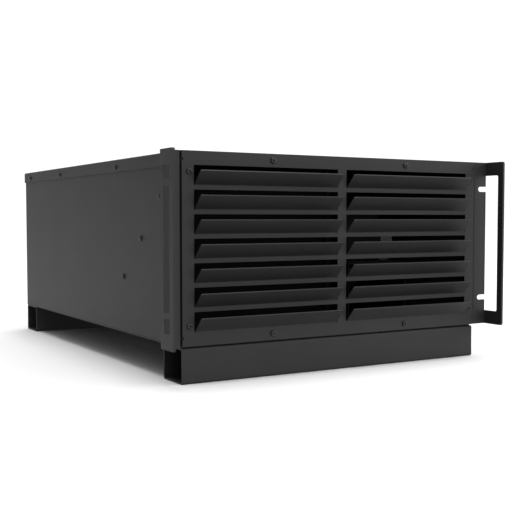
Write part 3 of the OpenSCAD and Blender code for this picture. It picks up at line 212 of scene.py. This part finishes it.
# %% Plastic and soft finishes
black_plastic = grained("moulded_black_plastic", (0.012, 0.012, 0.013), (0.022, 0.022, 0.023),
                        (0.38, 0.54), 40, 1800, 0.00004)
black_rubber = grained("black_rubber", (0.010, 0.010, 0.010), (0.020, 0.020, 0.020),
                       (0.70, 0.88), 60, 1500, 0.00005, specular=0.3)
grey_foam = grained("closed_cell_foam", (0.045, 0.046, 0.048), (0.080, 0.082, 0.085),
                    (0.85, 0.97), 220, 900, 0.0004, strength=0.8, specular=0.2)
circuit_board = grained("circuit_board", (0.012, 0.085, 0.040), (0.020, 0.120, 0.055),
                        (0.30, 0.42), 80, 900, 0.00002, coat=0.2)


def woven_filter(name):
    """Filter cloth: two crossed waves make the threads of a plain weave."""
    finish, tree, shader = new_finish(name, specular=0.05)
    place = tree.nodes.new("ShaderNodeTexCoord")
    waves = []
    for direction in ("X", "Z"):
        wave = tree.nodes.new("ShaderNodeTexWave")
        wave.bands_direction = direction
        wave.inputs["Scale"].default_value = 150
        wave.inputs["Distortion"].default_value = 0.4
        tree.links.new(place.outputs["Object"], wave.inputs["Vector"])
        waves.append(wave)
    over = tree.nodes.new("ShaderNodeMath")
    over.operation = "MAXIMUM"
    tree.links.new(waves[0].outputs["Fac"], over.inputs[0])
    tree.links.new(waves[1].outputs["Fac"], over.inputs[1])
    thread = tones(tree, over.outputs[0], (0.001, 0.001, 0.001), (0.006, 0.006, 0.0065), 0.3, 0.9)
    tree.links.new(thread, shader.inputs["Base Color"])
    tree.links.new(spread(tree, over.outputs[0], 0.75, 0.9), shader.inputs["Roughness"])
    relief(tree, shader, over.outputs[0], 0.7, 0.0004)
    return finish


filter_cloth = woven_filter("filter_cloth")
print("soft finishes:", grey_foam.name, filter_cloth.name)

# %% [markdown]
# ## Every CAD node gets its finish
# Most inner pieces have the right shape already, so they stay as they are and only
# swap their plain colour for a finish. The near-black inner coat paints in the shade
# inside the case. The list reads like a parts bench, one
# finish with the pieces that carry it.

# %% Finishes for the carried-over nodes
bench = {
    powder_coat: ("front_foot_tube rear_foot_tube base_pan left_side_panel right_side_panel "
                  "top_cover rear_panel front_louvre_panel left_rack_ear right_rack_ear"),
    # These inner pieces get the near-black coat, which is painted shade for the dark interior.
    interior_shade_coat: ("front_frame bulkhead_panel plenum_divider filter_frame left_fan_guard "
                 "right_fan_guard blower_motor_bracket condenser_baffle blower_housing "
                 "blower_inlet_ring"),
    zinc_plate: ("foot_tube_bolts drip_tray evaporator_end_plates condenser_end_plates "
                 "compressor_bolts accumulator_clamp blower_shaft electrical_box "
                 "electrical_box_lid"),
    screw_black: "front_panel_screws side_screws cover_screws rear_panel_screws fan_screws",
    rolled_aluminium: "evaporator_fins condenser_fins run_capacitor",
    drawn_copper: ("evaporator_tubes condenser_tubes discharge_pipe liquid_pipe capillary_pipe "
                   "suction_pipe filter_drier"),
    black_plastic: ("drain_spout left_fan_frame right_fan_frame left_fan_rotor right_fan_rotor "
                    "power_inlet switch_bezel switch_rocker blower_wheel"),
    black_enamel: "compressor accumulator",
    motor_paint: "blower_motor",
    black_rubber: "compressor_feet",
    grey_foam: "bulkhead_foam",
    filter_cloth: "filter_mesh",
    circuit_board: "control_board",
}
finish_of = {node: finish for finish, names in bench.items() for node in names.split()}
missing = sorted(set(nodes) - set(finish_of))
for node, finish in finish_of.items():
    for slot in nodes[node].material_slots:
        slot.material = finish
print("finished nodes:", len(finish_of), "without a finish:", missing)

# %% [markdown]
# ## Rolled sheet edges
# A cut sheet is tumbled or brushed before it is coated, and paint rounds its corners
# further. That thin rounded edge is what catches the light along every seam. The CAD
# solids have sharp edges, so the outer pieces are copied, their loose triangles are
# merged into clean faces, and a narrow bevel rolls each hard corner.

# %% Edge helpers
weld = 2e-6
flat_angle = math.radians(0.4)


def smooth_by_angle(mesh, degrees=30):
    """Soft shading that stays hard across corners sharper than the angle."""
    mesh.shade_smooth()
    mesh.set_sharp_from_angle(angle=math.radians(degrees))


def shown(name, mesh):
    """A new piece at the origin with this mesh."""
    piece = bpy.data.objects.new(name, mesh)
    bpy.context.scene.collection.objects.link(piece)
    return piece


def made_plain(piece):
    """The piece's modifiers turned into a plain mesh."""
    graph = bpy.context.evaluated_depsgraph_get()
    mesh = bpy.data.meshes.new_from_object(piece.evaluated_get(graph))
    piece.modifiers.clear()
    piece.data = mesh
    return piece


def roll_edges(piece, width, segments=2, degrees=35):
    """Rounds the hard corners of a piece by a narrow bevel."""
    bevel = piece.modifiers.new("rolled_edge", "BEVEL")
    bevel.width = width
    bevel.segments = segments
    bevel.limit_method = "ANGLE"
    bevel.angle_limit = math.radians(degrees)
    bevel.harden_normals = True
    return made_plain(piece)


def clean_copy(node, name):
    """A copy of a CAD node with its loose triangles merged into flat faces."""
    form = bmesh.new()
    form.from_mesh(nodes[node].data)
    bmesh.ops.remove_doubles(form, verts=form.verts, dist=weld)
    bmesh.ops.dissolve_limit(form, angle_limit=flat_angle, verts=form.verts,
                             edges=form.edges)
    mesh = bpy.data.meshes.new(name)
    form.to_mesh(mesh)
    form.free()
    smooth_by_angle(mesh)
    return shown(name, mesh)


def put_on(piece, body, slot, *replaced):
    """The piece rides on its body and stands for its CAD nodes. The slot is not used."""
    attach(piece, body)
    if replaced:
        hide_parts(*replaced)
    return piece


print("edge helpers ready")

# %% Roll the edges of the case
edge_width = {
    "front_foot_tube": 0.5, "rear_foot_tube": 0.5, "base_pan": 0.45, "left_side_panel": 0.5,
    "right_side_panel": 0.5, "top_cover": 0.45, "rear_panel": 0.5, "left_rack_ear": 0.9,
    "right_rack_ear": 0.9,
}
for node, width in edge_width.items():
    piece = clean_copy(node, node + "_coated")
    piece.data.materials.clear()
    piece.data.materials.append(powder_coat)
    roll_edges(piece, width * MM)
    put_on(piece, BODY, "coat", node)
    print(piece.name, len(piece.data.polygons), "faces")

# %% [markdown]
# ## The louvred front
# The real front is one sheet. Each opening is sheared on three sides and its tongue is
# bent forward along the fourth, so sheet and blades are one piece of metal. The tongue
# is drawn once as a row of cross-sections, and Geometry Nodes set it under every
# opening, in two banks. The same tree cuts the sheet: an outline, the openings and the
# screw holes are curves that are filled as one face and then given their thickness.

# %% One bent blade
bank_w, mullion = 194.6 * MM, 12.8 * MM
row_open, row_pitch, row_count = 22.3 * MM, 27.3 * MM, 7
bank_x = (bank_w + mullion) / 2
field_z = mid_z - ((row_count - 1) * row_pitch + row_open) / 2
side_gap = 1.2 * MM
blade_half, blade_length, blade_corner = bank_w / 2 - side_gap, 20.4 * MM, 2.5 * MM
bend_r, lean, arc_steps = 1.5 * MM, math.radians(45), 5


def blade_stations():
    """(half width, front point, back point) along the blade, from the bend to the tip."""
    rows = []
    for step in range(arc_steps + 1):
        turn = lean * step / arc_steps
        ray = Vector((0, math.cos(turn), math.sin(turn)))
        hub = Vector((0, -bend_r, 0))
        rows.append((blade_half, hub + ray * bend_r, hub + ray * (bend_r + panel_t)))
    along = Vector((0, -math.sin(lean), math.cos(lean)))
    front, back = rows[-1][1], rows[-1][2]
    straight = blade_length - blade_corner
    rows.append((blade_half, front + along * straight, back + along * straight))
    for step in range(1, arc_steps + 1):
        turn = math.radians(90) * step / arc_steps
        reach = straight + blade_corner * math.sin(turn)
        half = blade_half - blade_corner * (1 - math.cos(turn))
        rows.append((half, front + along * reach, back + along * reach))
    return rows


def blade_mesh():
    """A closed mesh through the blade's cross-sections."""
    form = bmesh.new()
    rings = []
    for half, front, back in blade_stations():
        corners = [front - Vector((half, 0, 0)), front + Vector((half, 0, 0)),
                   back + Vector((half, 0, 0)), back - Vector((half, 0, 0))]
        rings.append([form.verts.new(c) for c in corners])
    for one, two in zip(rings, rings[1:]):
        for side in range(4):
            form.faces.new((one[side], one[(side + 1) % 4], two[(side + 1) % 4], two[side]))
    form.faces.new(rings[0][::-1])
    form.faces.new(rings[-1])
    bmesh.ops.recalc_face_normals(form, faces=form.faces)
    mesh = bpy.data.meshes.new("louvre_blade")
    form.to_mesh(mesh)
    form.free()
    return mesh


blade = shown("louvre_blade_pattern", blade_mesh())
print("one blade has", len(blade.data.polygons), "faces")

# %% [markdown]
# ## A small kit for Geometry Nodes
# A repeated piece, such as a blade, a screw or a fin, is best drawn once and set many
# times by a node tree.

# %% A small kit for Geometry Nodes
class Tree:
    """A node group whose named inputs can be set on a modifier by their identifiers."""

    def __init__(self, name, **inputs):
        self.group = bpy.data.node_groups.new(name, "GeometryNodeTree")
        face = self.group.interface
        face.new_socket("Geometry", in_out="INPUT", socket_type="NodeSocketGeometry")
        face.new_socket("Geometry", in_out="OUTPUT", socket_type="NodeSocketGeometry")
        self.ids = {}
        for label, kind in inputs.items():
            socket = face.new_socket(label, in_out="INPUT", socket_type="NodeSocket" + kind)
            self.ids[label] = socket.identifier
        self.start = self.group.nodes.new("NodeGroupInput")
        self.end = self.group.nodes.new("NodeGroupOutput")

    def node(self, kind, settings=None, **links):
        """A node with its settings, and with inputs given as sockets or plain values."""
        made = self.group.nodes.new(kind)
        for key, value in (settings or {}).items():
            setattr(made, key, value)
        for key, value in links.items():
            self.feed(made.inputs[key.replace("_", " ")], value)
        return made

    def feed(self, socket, value):
        if isinstance(value, bpy.types.NodeSocket):
            self.group.links.new(value, socket)
        else:
            socket.default_value = value

    def input(self, label):
        return self.start.outputs[label]

    def result(self, geometry, finish):
        """Ends the tree in Realize Instances and Set Material."""
        real = self.node("GeometryNodeRealizeInstances", Geometry=geometry)
        coated = self.node("GeometryNodeSetMaterial", Geometry=real.outputs[0], Material=finish)
        self.group.links.new(coated.outputs[0], self.end.inputs["Geometry"])

    def grow(self, piece, **values):
        """Runs the tree on a piece and leaves a plain mesh."""
        modifier = piece.modifiers.new(self.group.name, "NODES")
        modifier.node_group = self.group
        for label, value in values.items():
            modifier[self.ids[label]] = value
        return made_plain(piece)


def points_mesh(name, places, outward):
    """Loose points, each with the direction that faces out."""
    mesh = bpy.data.meshes.new(name)
    mesh.from_pydata([tuple(p) for p in places], [], [])
    facing = mesh.attributes.new("outward", "FLOAT_VECTOR", "POINT")
    facing.data.foreach_set("vector", [c for v in outward for c in v])
    return mesh


print("geometry node kit ready")

# %% [markdown]
# ## The tree of the louvred front
# Each point of the start mesh carries a kind: an opening, a screw hole or a corner of
# the outline. Curves cut the sheet in one fill, which keeps its face free of stray
# edges, and the blades are set at the openings only.

# %% Cut the sheet
OPENING, SCREW_HOLE, OUTLINE = 0, 1, 2
screw_hole_r, hole_sides, seam = 2.1 * MM, 20, 1e-6
stand_up = (math.radians(90), 0, 0)
openings = Tree("louvred_front", Blade="Object", Sheet="Float", Opening_Width="Float",
                Opening_Height="Float")
window = openings.node("GeometryNodeCurvePrimitiveQuadrilateral",
                       Width=openings.input("Opening_Width"),
                       Height=openings.input("Opening_Height"))
outline = openings.node("GeometryNodeMeshToCurve", Mesh=openings.input("Geometry"))
hole = openings.node("GeometryNodeCurvePrimitiveCircle", Resolution=hole_sides,
                     Radius=screw_hole_r)
kind = openings.node("GeometryNodeInputNamedAttribute", {"data_type": "INT"}, Name="kind")


def of_kind(tree, number):
    """True for the points of one kind."""
    test = tree.node("FunctionNodeCompare", {"data_type": "INT", "operation": "EQUAL"})
    tree.feed(test.inputs[2], kind.outputs["Attribute"])
    test.inputs[3].default_value = number
    return test.outputs[0]


cuts = [openings.node("GeometryNodeInstanceOnPoints", Points=openings.input("Geometry"),
                      Selection=of_kind(openings, number), Instance=shape.outputs[0])
        for number, shape in ((OPENING, window), (SCREW_HOLE, hole))]
joined = openings.node("GeometryNodeJoinGeometry")
for part in (outline, *cuts):
    openings.group.links.new(part.outputs[0], joined.inputs[0])
flat = openings.node("GeometryNodeRealizeInstances", Geometry=joined.outputs[0])
face = openings.node("GeometryNodeFillCurve", Curve=flat.outputs[0])
thick = openings.node("GeometryNodeExtrudeMesh", Mesh=face.outputs[0],
                      Offset_Scale=openings.input("Sheet"))
thick.inputs["Individual"].default_value = False
back = openings.node("GeometryNodeFlipFaces", Mesh=face.outputs[0])
shell = openings.node("GeometryNodeJoinGeometry")
for part in (thick, back):
    openings.group.links.new(part.outputs[0], shell.inputs[0])
closed = openings.node("GeometryNodeMergeByDistance", Geometry=shell.outputs[0],
                       Distance=seam)
upright = openings.node("GeometryNodeTransform", Geometry=closed.outputs[0],
                        Rotation=stand_up, Translation=(0, panel_t, 0))
print("sheet tree ready")

# %% Set the blades
tongue = openings.node("GeometryNodeObjectInfo", Object=openings.input("Blade"))
drop = openings.node("GeometryNodeTransform", Geometry=tongue.outputs["Geometry"],
                     Translation=(0, 0, -row_open / 2))
stood = openings.node("GeometryNodeTransform", Geometry=openings.input("Geometry"),
                      Rotation=stand_up)
blades = openings.node("GeometryNodeInstanceOnPoints", Points=stood.outputs[0],
                       Selection=of_kind(openings, OPENING), Instance=drop.outputs[0])
whole = openings.node("GeometryNodeJoinGeometry")
for part in (upright, blades):
    openings.group.links.new(part.outputs[0], whole.inputs[0])
openings.result(whole.outputs[0], powder_coat)
print("blade tree ready")

# %% Places of the openings, the screws and the outline
corner_x, corner_z = 206.95 * MM, 86.05 * MM
edge_x, edge_z = bank_x * 0.95, 100.95 * MM
screw_spots = [(s * x, t * z) for x, z in ((corner_x, corner_z), (edge_x, edge_z))
               for s in (-1, 1) for t in (-1, 1)]
row_spots = [(s * bank_x, field_z + row_open / 2 - mid_z + row * row_pitch)
             for s in (-1, 1) for row in range(row_count)]


def notched_outline():
    """The panel's outline, with a small bend-relief notch near each corner of its sides."""
    half_h, notch_in, notch_r = (top_z - panel_z) / 2, 9.5 * MM, 1.8 * MM
    notch_steps, loop = 8, []
    for side in (1, -1):
        loop.append((side * half_w, -side * half_h))
        for end in (-1, 1):
            middle = side * end * (half_h - notch_in)
            for step in range(notch_steps + 1):
                turn = math.pi * step / notch_steps
                loop.append((side * (half_w - notch_r * math.sin(turn)),
                             middle - side * notch_r * math.cos(turn)))
        loop.append((side * half_w, side * half_h))
    return loop


edge_loop = notched_outline()
print(len(row_spots), "openings,", len(screw_spots), "screws,", len(edge_loop), "outline points")

# %% Grow the louvred front
loose, around_n = len(row_spots) + len(screw_spots), len(edge_loop)
sheet_edge = 0.5 * MM
spots = bpy.data.meshes.new("louvre_spots")
spots.from_pydata([(x, z, 0) for x, z in row_spots + screw_spots + edge_loop],
                  [(loose + i, loose + (i + 1) % around_n) for i in range(around_n)], [])
mark = spots.attributes.new("kind", "INT", "POINT")
kinds = ([OPENING] * len(row_spots) + [SCREW_HOLE] * len(screw_spots)
         + [OUTLINE] * around_n)
mark.data.foreach_set("value", kinds)
louvres = openings.grow(shown("louvred_front_panel", spots), Blade=blade, Sheet=panel_t,
                        Opening_Width=bank_w, Opening_Height=row_open)
bpy.data.objects.remove(blade)
for vertex in louvres.data.vertices:
    vertex.co += Vector((0, front_y, mid_z))
smooth_by_angle(louvres.data)
roll_edges(louvres, sheet_edge)
put_on(louvres, BODY, "coat", "front_louvre_panel")
print("louvred front:", len(row_spots), "blades,", len(louvres.data.polygons), "faces")

# %% [markdown]
# ## Pan-head screws
# Every panel is held by small pan-head screws with a cross recess. One head is turned
# from a profile and the recess is cut from it, and Geometry Nodes set a copy at each
# place, faced outwards and turned by a random amount, as a hand leaves them.

# %% One screw head
head_r, head_h, head_sides = 3.6 * MM, 2.0 * MM, 28


def turned_head():
    """The dome of a pan head, closed below, standing on z = 0."""
    form = bmesh.new()
    profile = [(0.45, 0.98), (0.75, 0.88), (0.92, 0.7), (1.0, 0.42), (1.0, 0.0)]
    rings = []
    for reach, height in profile:
        rings.append([form.verts.new((head_r * reach * math.cos(a), head_r * reach * math.sin(a),
                                      head_h * height))
                      for a in (math.tau * i / head_sides for i in range(head_sides))])
    for one, two in zip(rings, rings[1:]):
        for i in range(head_sides):
            after = (i + 1) % head_sides
            form.faces.new((one[i], two[i], two[after], one[after]))
    form.faces.new(rings[0])
    form.faces.new(rings[-1][::-1])
    bmesh.ops.recalc_face_normals(form, faces=form.faces)
    mesh = bpy.data.meshes.new("screw_head")
    form.to_mesh(mesh)
    form.free()
    return mesh


def cross_cutter():
    """Two crossed wedges that narrow downwards, as a driver's tip does."""
    form = bmesh.new()
    arm, width, deep = head_r * 0.55, head_r * 0.13, head_h * 0.35
    for quarter in (0, 1):
        top = [(-arm, -width), (arm, -width), (arm, width), (-arm, width)]
        ring = []
        for z, tight in ((deep, 0.5), (head_h * 1.2, 1.0)):
            corners = [(x * tight, y) for x, y in top]
            if quarter:
                corners = [(-y, x) for x, y in corners]
            ring.append([form.verts.new((x, y, z)) for x, y in corners])
        form.faces.new(ring[0][::-1])
        form.faces.new(ring[1])
        for i in range(4):
            form.faces.new((ring[0][i], ring[0][(i + 1) % 4], ring[1][(i + 1) % 4], ring[1][i]))
    mesh = bpy.data.meshes.new("cross_cutter")
    form.to_mesh(mesh)
    form.free()
    return mesh


head = shown("screw_head_pattern", turned_head())
cutter = shown("cross_cutter", cross_cutter())
cut = head.modifiers.new("recess", "BOOLEAN")
cut.object, cut.operation, cut.solver = cutter, "DIFFERENCE", "EXACT"
cut.use_self = True
made_plain(head)
smooth_by_angle(head.data, 35)
bpy.data.objects.remove(cutter)
print("one screw head has", len(head.data.polygons), "faces")

# %% Find the screws
def islands(node):
    """(low, high) of each separate solid in a CAD node."""
    form = bmesh.new()
    form.from_mesh(nodes[node].data)
    bmesh.ops.remove_doubles(form, verts=form.verts, dist=weld)
    left, found = set(form.verts), []
    while left:
        queue, part = [left.pop()], []
        while queue:
            vertex = queue.pop()
            part.append(vertex.co.copy())
            for edge in vertex.link_edges:
                other = edge.other_vert(vertex)
                if other in left:
                    left.remove(other)
                    queue.append(other)
        found.append([Vector([f(p[i] for p in part) for i in range(3)]) for f in (min, max)])
    form.free()
    return found


print("front panel screws found:", len(islands("front_panel_screws")))

# %% Set the screws
screws = Tree("set_screws", Head="Object", Seed="Int")
facing = screws.node("GeometryNodeInputNamedAttribute", {"data_type": "FLOAT_VECTOR"},
                     Name="outward")
aim = screws.node("FunctionNodeAlignRotationToVector", {"axis": "Z"},
                  Vector=facing.outputs["Attribute"])
turn = screws.node("FunctionNodeRandomValue", {"data_type": "FLOAT"}, Seed=screws.input("Seed"))
turn.inputs[3].default_value = math.tau
spin = screws.node("FunctionNodeAxisAngleToRotation", Axis=(0, 0, 1), Angle=turn.outputs[1])
laid = screws.node("FunctionNodeRotateRotation", {"rotation_space": "LOCAL"},
                   Rotation=aim.outputs[0], Rotate_By=spin.outputs[0])
one_head = screws.node("GeometryNodeObjectInfo", Object=screws.input("Head"))
heads = screws.node("GeometryNodeInstanceOnPoints", Points=screws.input("Geometry"),
                    Instance=one_head.outputs["Geometry"], Rotation=laid.outputs[0])
screws.result(heads.outputs[0], screw_black)

screw_rows = {"front_panel_screws": (1, -1), "side_screws": (0, 0), "cover_screws": (0, 0),
              "rear_panel_screws": (1, 1), "fan_screws": (1, 1)}
for seed, (node, (axis, sign)) in enumerate(screw_rows.items()):
    places, outward = [], []
    for low, high in islands(node):
        place = (low + high) / 2
        side = sign or (1 if place.x > 0 else -1)
        place[axis] = (high if side > 0 else low)[axis] - side * head_h
        places.append(place)
        outward.append([side if i == axis else 0 for i in range(3)])
    piece = screws.grow(shown(node + "_heads", points_mesh(node, places, outward)),
                        Head=head, Seed=seed)
    put_on(piece, BODY, "zinc_steel", node)
    print(piece.name, len(places), "screws")
bpy.data.objects.remove(head)

# %% [markdown]
# ## Coil fins
# Each coil is a stack of thin aluminium fins pressed on to copper tubes, about two
# millimetres apart. The fins are rippled across their depth, which stiffens them and
# stirs the air. One rippled fin is drawn, and Geometry Nodes set a row of copies along
# the coil, then lean the whole stack to the coil's own slope.

# %% One rippled fin
def fin_mesh(depth, height, ripple=0.35 * MM, thick=0.12 * MM, folds=8):
    """A closed fin across X, rippled along its depth, centred on the origin."""
    form = bmesh.new()
    rings = []
    for step in range(folds + 1):
        y = depth * (step / folds - 0.5)
        x = ripple if step % 2 else -ripple
        rings.append([form.verts.new((x + side * thick / 2, y, z * height / 2))
                      for side, z in ((-1, -1), (1, -1), (1, 1), (-1, 1))])
    for one, two in zip(rings, rings[1:]):
        for i in range(4):
            form.faces.new((one[i], one[(i + 1) % 4], two[(i + 1) % 4], two[i]))
    form.faces.new(rings[0][::-1])
    form.faces.new(rings[-1])
    bmesh.ops.recalc_face_normals(form, faces=form.faces)
    mesh = bpy.data.meshes.new("rippled_fin")
    form.to_mesh(mesh)
    form.free()
    return mesh


stack = Tree("fin_stack", Fin="Object", Count="Int", Start="Float", Pitch="Float",
             Slope="Rotation", Centre="Vector")
start_at = stack.node("ShaderNodeCombineXYZ", X=stack.input("Start"))
step_by = stack.node("ShaderNodeCombineXYZ", X=stack.input("Pitch"))
line = stack.node("GeometryNodeMeshLine", {"mode": "OFFSET"}, Count=stack.input("Count"),
                  Start_Location=start_at.outputs[0], Offset=step_by.outputs[0])
one_fin = stack.node("GeometryNodeObjectInfo", Object=stack.input("Fin"))
fins = stack.node("GeometryNodeInstanceOnPoints", Points=line.outputs[0],
                  Instance=one_fin.outputs["Geometry"])
leaned = stack.node("GeometryNodeTransform", Geometry=fins.outputs[0],
                    Rotation=stack.input("Slope"), Translation=stack.input("Centre"))
stack.result(leaned.outputs[0], rolled_aluminium)
print("fin tree ready")

# %% Press the fins on both coils
coil_depth, fin_gap, end_room = 44 * MM, 2 * MM, 1.2 * MM
coil_fins = {"evaporator_fins": (160 * MM, math.radians(48.8)), "condenser_fins": (210 * MM, 0.0)}
for node, (fin_height, slope) in coil_fins.items():
    low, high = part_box(node)
    pattern = shown(node + "_pattern", fin_mesh(coil_depth, fin_height))
    run = high.x - low.x - end_room
    count = int(run / fin_gap) + 1
    piece = stack.grow(shown(node + "_rippled", bpy.data.meshes.new(node)), Fin=pattern,
                       Count=count, Start=-(count - 1) * fin_gap / 2, Pitch=fin_gap,
                       Slope=(slope, 0.0, 0.0), Centre=tuple((low + high) / 2))
    bpy.data.objects.remove(pattern)
    put_on(piece, BODY, "aluminium", node)
    print(piece.name, count, "fins, CAD box height", round(high.z - low.z, 4))

# %% [markdown]
# ## Floor
# The unit stands on a plain pale floor, wide enough that its far edge is lost in the
# white. It is kept out of the diffuse bounce, so it doesn't wash the dark coat.

# %% Floor
floor_mesh = bpy.data.meshes.new("floor")
floor_half = 30
floor_corners = [(-1, -1), (1, -1), (1, 1), (-1, 1)]
floor_mesh.from_pydata([(x * floor_half, y * floor_half, 0) for x, y in floor_corners],
                       [], [(0, 1, 2, 3)])
floor = shown("floor", floor_mesh)
floor_finish = grained("pale_floor", (0.86, 0.86, 0.86), (0.88, 0.88, 0.88), (0.8, 0.9), 2, 60,
                       0.00001, strength=0.05, specular=0.1)
floor_mesh.materials.append(floor_finish)
floor.visible_diffuse = False
print("floor laid")

# %% [markdown]
# ## A white studio around the unit
# The surroundings look plain white to the camera, but the light they give fades
# towards the left and below. That keeps the side darker than the front, as one-sided
# room light would, and a gradient does it without another lamp.

# %% Surroundings
world = bpy.data.worlds.new("studio")
bpy.context.scene.world = world
world.use_nodes = True
studio = world.node_tree
sky = studio.nodes["Background"]
sky.inputs["Strength"].default_value = 1.1
around = studio.nodes.new("ShaderNodeTexCoord")
split = studio.nodes.new("ShaderNodeSeparateXYZ")
studio.links.new(around.outputs["Generated"], split.inputs["Vector"])


def fade(axis, low, high, dim):
    """Light that rises from dim to full as a direction's X or Z goes from low to high."""
    lift = studio.nodes.new("ShaderNodeMapRange")
    for label, value in (("From Min", low), ("From Max", high), ("To Min", dim), ("To Max", 1)):
        lift.inputs[label].default_value = value
    studio.links.new(split.outputs[axis], lift.inputs["Value"])
    return lift.outputs["Result"]


both = studio.nodes.new("ShaderNodeMath")
both.operation = "MULTIPLY"
studio.links.new(fade("Z", -0.6, -0.04, 0.12), both.inputs[0])
studio.links.new(fade("X", -0.7, 0.1, 0.14), both.inputs[1])
ray = studio.nodes.new("ShaderNodeLightPath")
seen = studio.nodes.new("ShaderNodeMath")
seen.operation = "MAXIMUM"
studio.links.new(ray.outputs["Is Camera Ray"], seen.inputs[0])
studio.links.new(both.outputs[0], seen.inputs[1])
studio.links.new(seen.outputs[0], sky.inputs["Color"])
print("white studio:", world.name)

# %% [markdown]
# ## Lamps
# Large soft lamps wrap the dark coat in slow gradients, so that each face has its own
# even tone and only the edges spark. A broad overhead light keeps the floor white.

# %% Lamps
def softbox(name, place, aim, size, power):
    """A square area lamp at a place, aimed at a point, in metres and watts."""
    lamp = bpy.data.lights.new(name, "AREA")
    lamp.shape, lamp.size, lamp.energy = "SQUARE", size, power
    holder = bpy.data.objects.new(name, lamp)
    bpy.context.scene.collection.objects.link(holder)
    holder.location = place
    holder.rotation_euler = (Vector(aim) - Vector(place)).to_track_quat("-Z", "Y").to_euler()


middle = (0, 0, 0.13)
softboxes = {
    "key_softbox": ((-0.2, -2.4, 1.9), 1.6, 13),
    "side_softbox": ((-2.6, 0.2, 1.3), 1.6, 1.2),
    "back_softbox": ((0.9, 2.4, 1.8), 1.4, 8),
    "rim_softbox": ((2.2, -1.2, 0.9), 0.9, 9),
}
for name, (place, size, power) in softboxes.items():
    softbox(name, place, middle, size, power)
overhead = bpy.data.lights.new("overhead_light", "SUN")
overhead.energy, overhead.angle = 1.7, math.radians(30)
bpy.context.scene.collection.objects.link(bpy.data.objects.new("overhead_light", overhead))
print(len(softboxes), "softboxes and an overhead light")

# %% [markdown]
# ## Camera
# The camera has a long lens, low and off to the left of the front. It is aimed by a
# direction, so yaw and pitch stay readable as two angles.

# %% Camera
lens = bpy.data.cameras.new("camera")
lens.lens, lens.sensor_width = 61.311, 36
camera = bpy.data.objects.new("camera", lens)
bpy.context.scene.collection.objects.link(camera)
camera.location = (-0.6442, -1.1978, 0.1858)
yaw, pitch = math.radians(30.645), math.radians(2.974)
look = Vector((math.sin(yaw) * math.cos(pitch), math.cos(yaw) * math.cos(pitch),
               -math.sin(pitch)))
camera.rotation_euler = look.to_track_quat("-Z", "Y").to_euler()
bpy.context.scene.camera = camera
bpy.context.scene.view_settings.view_transform = "Standard"
print("camera set", tuple(round(v, 4) for v in camera.location))
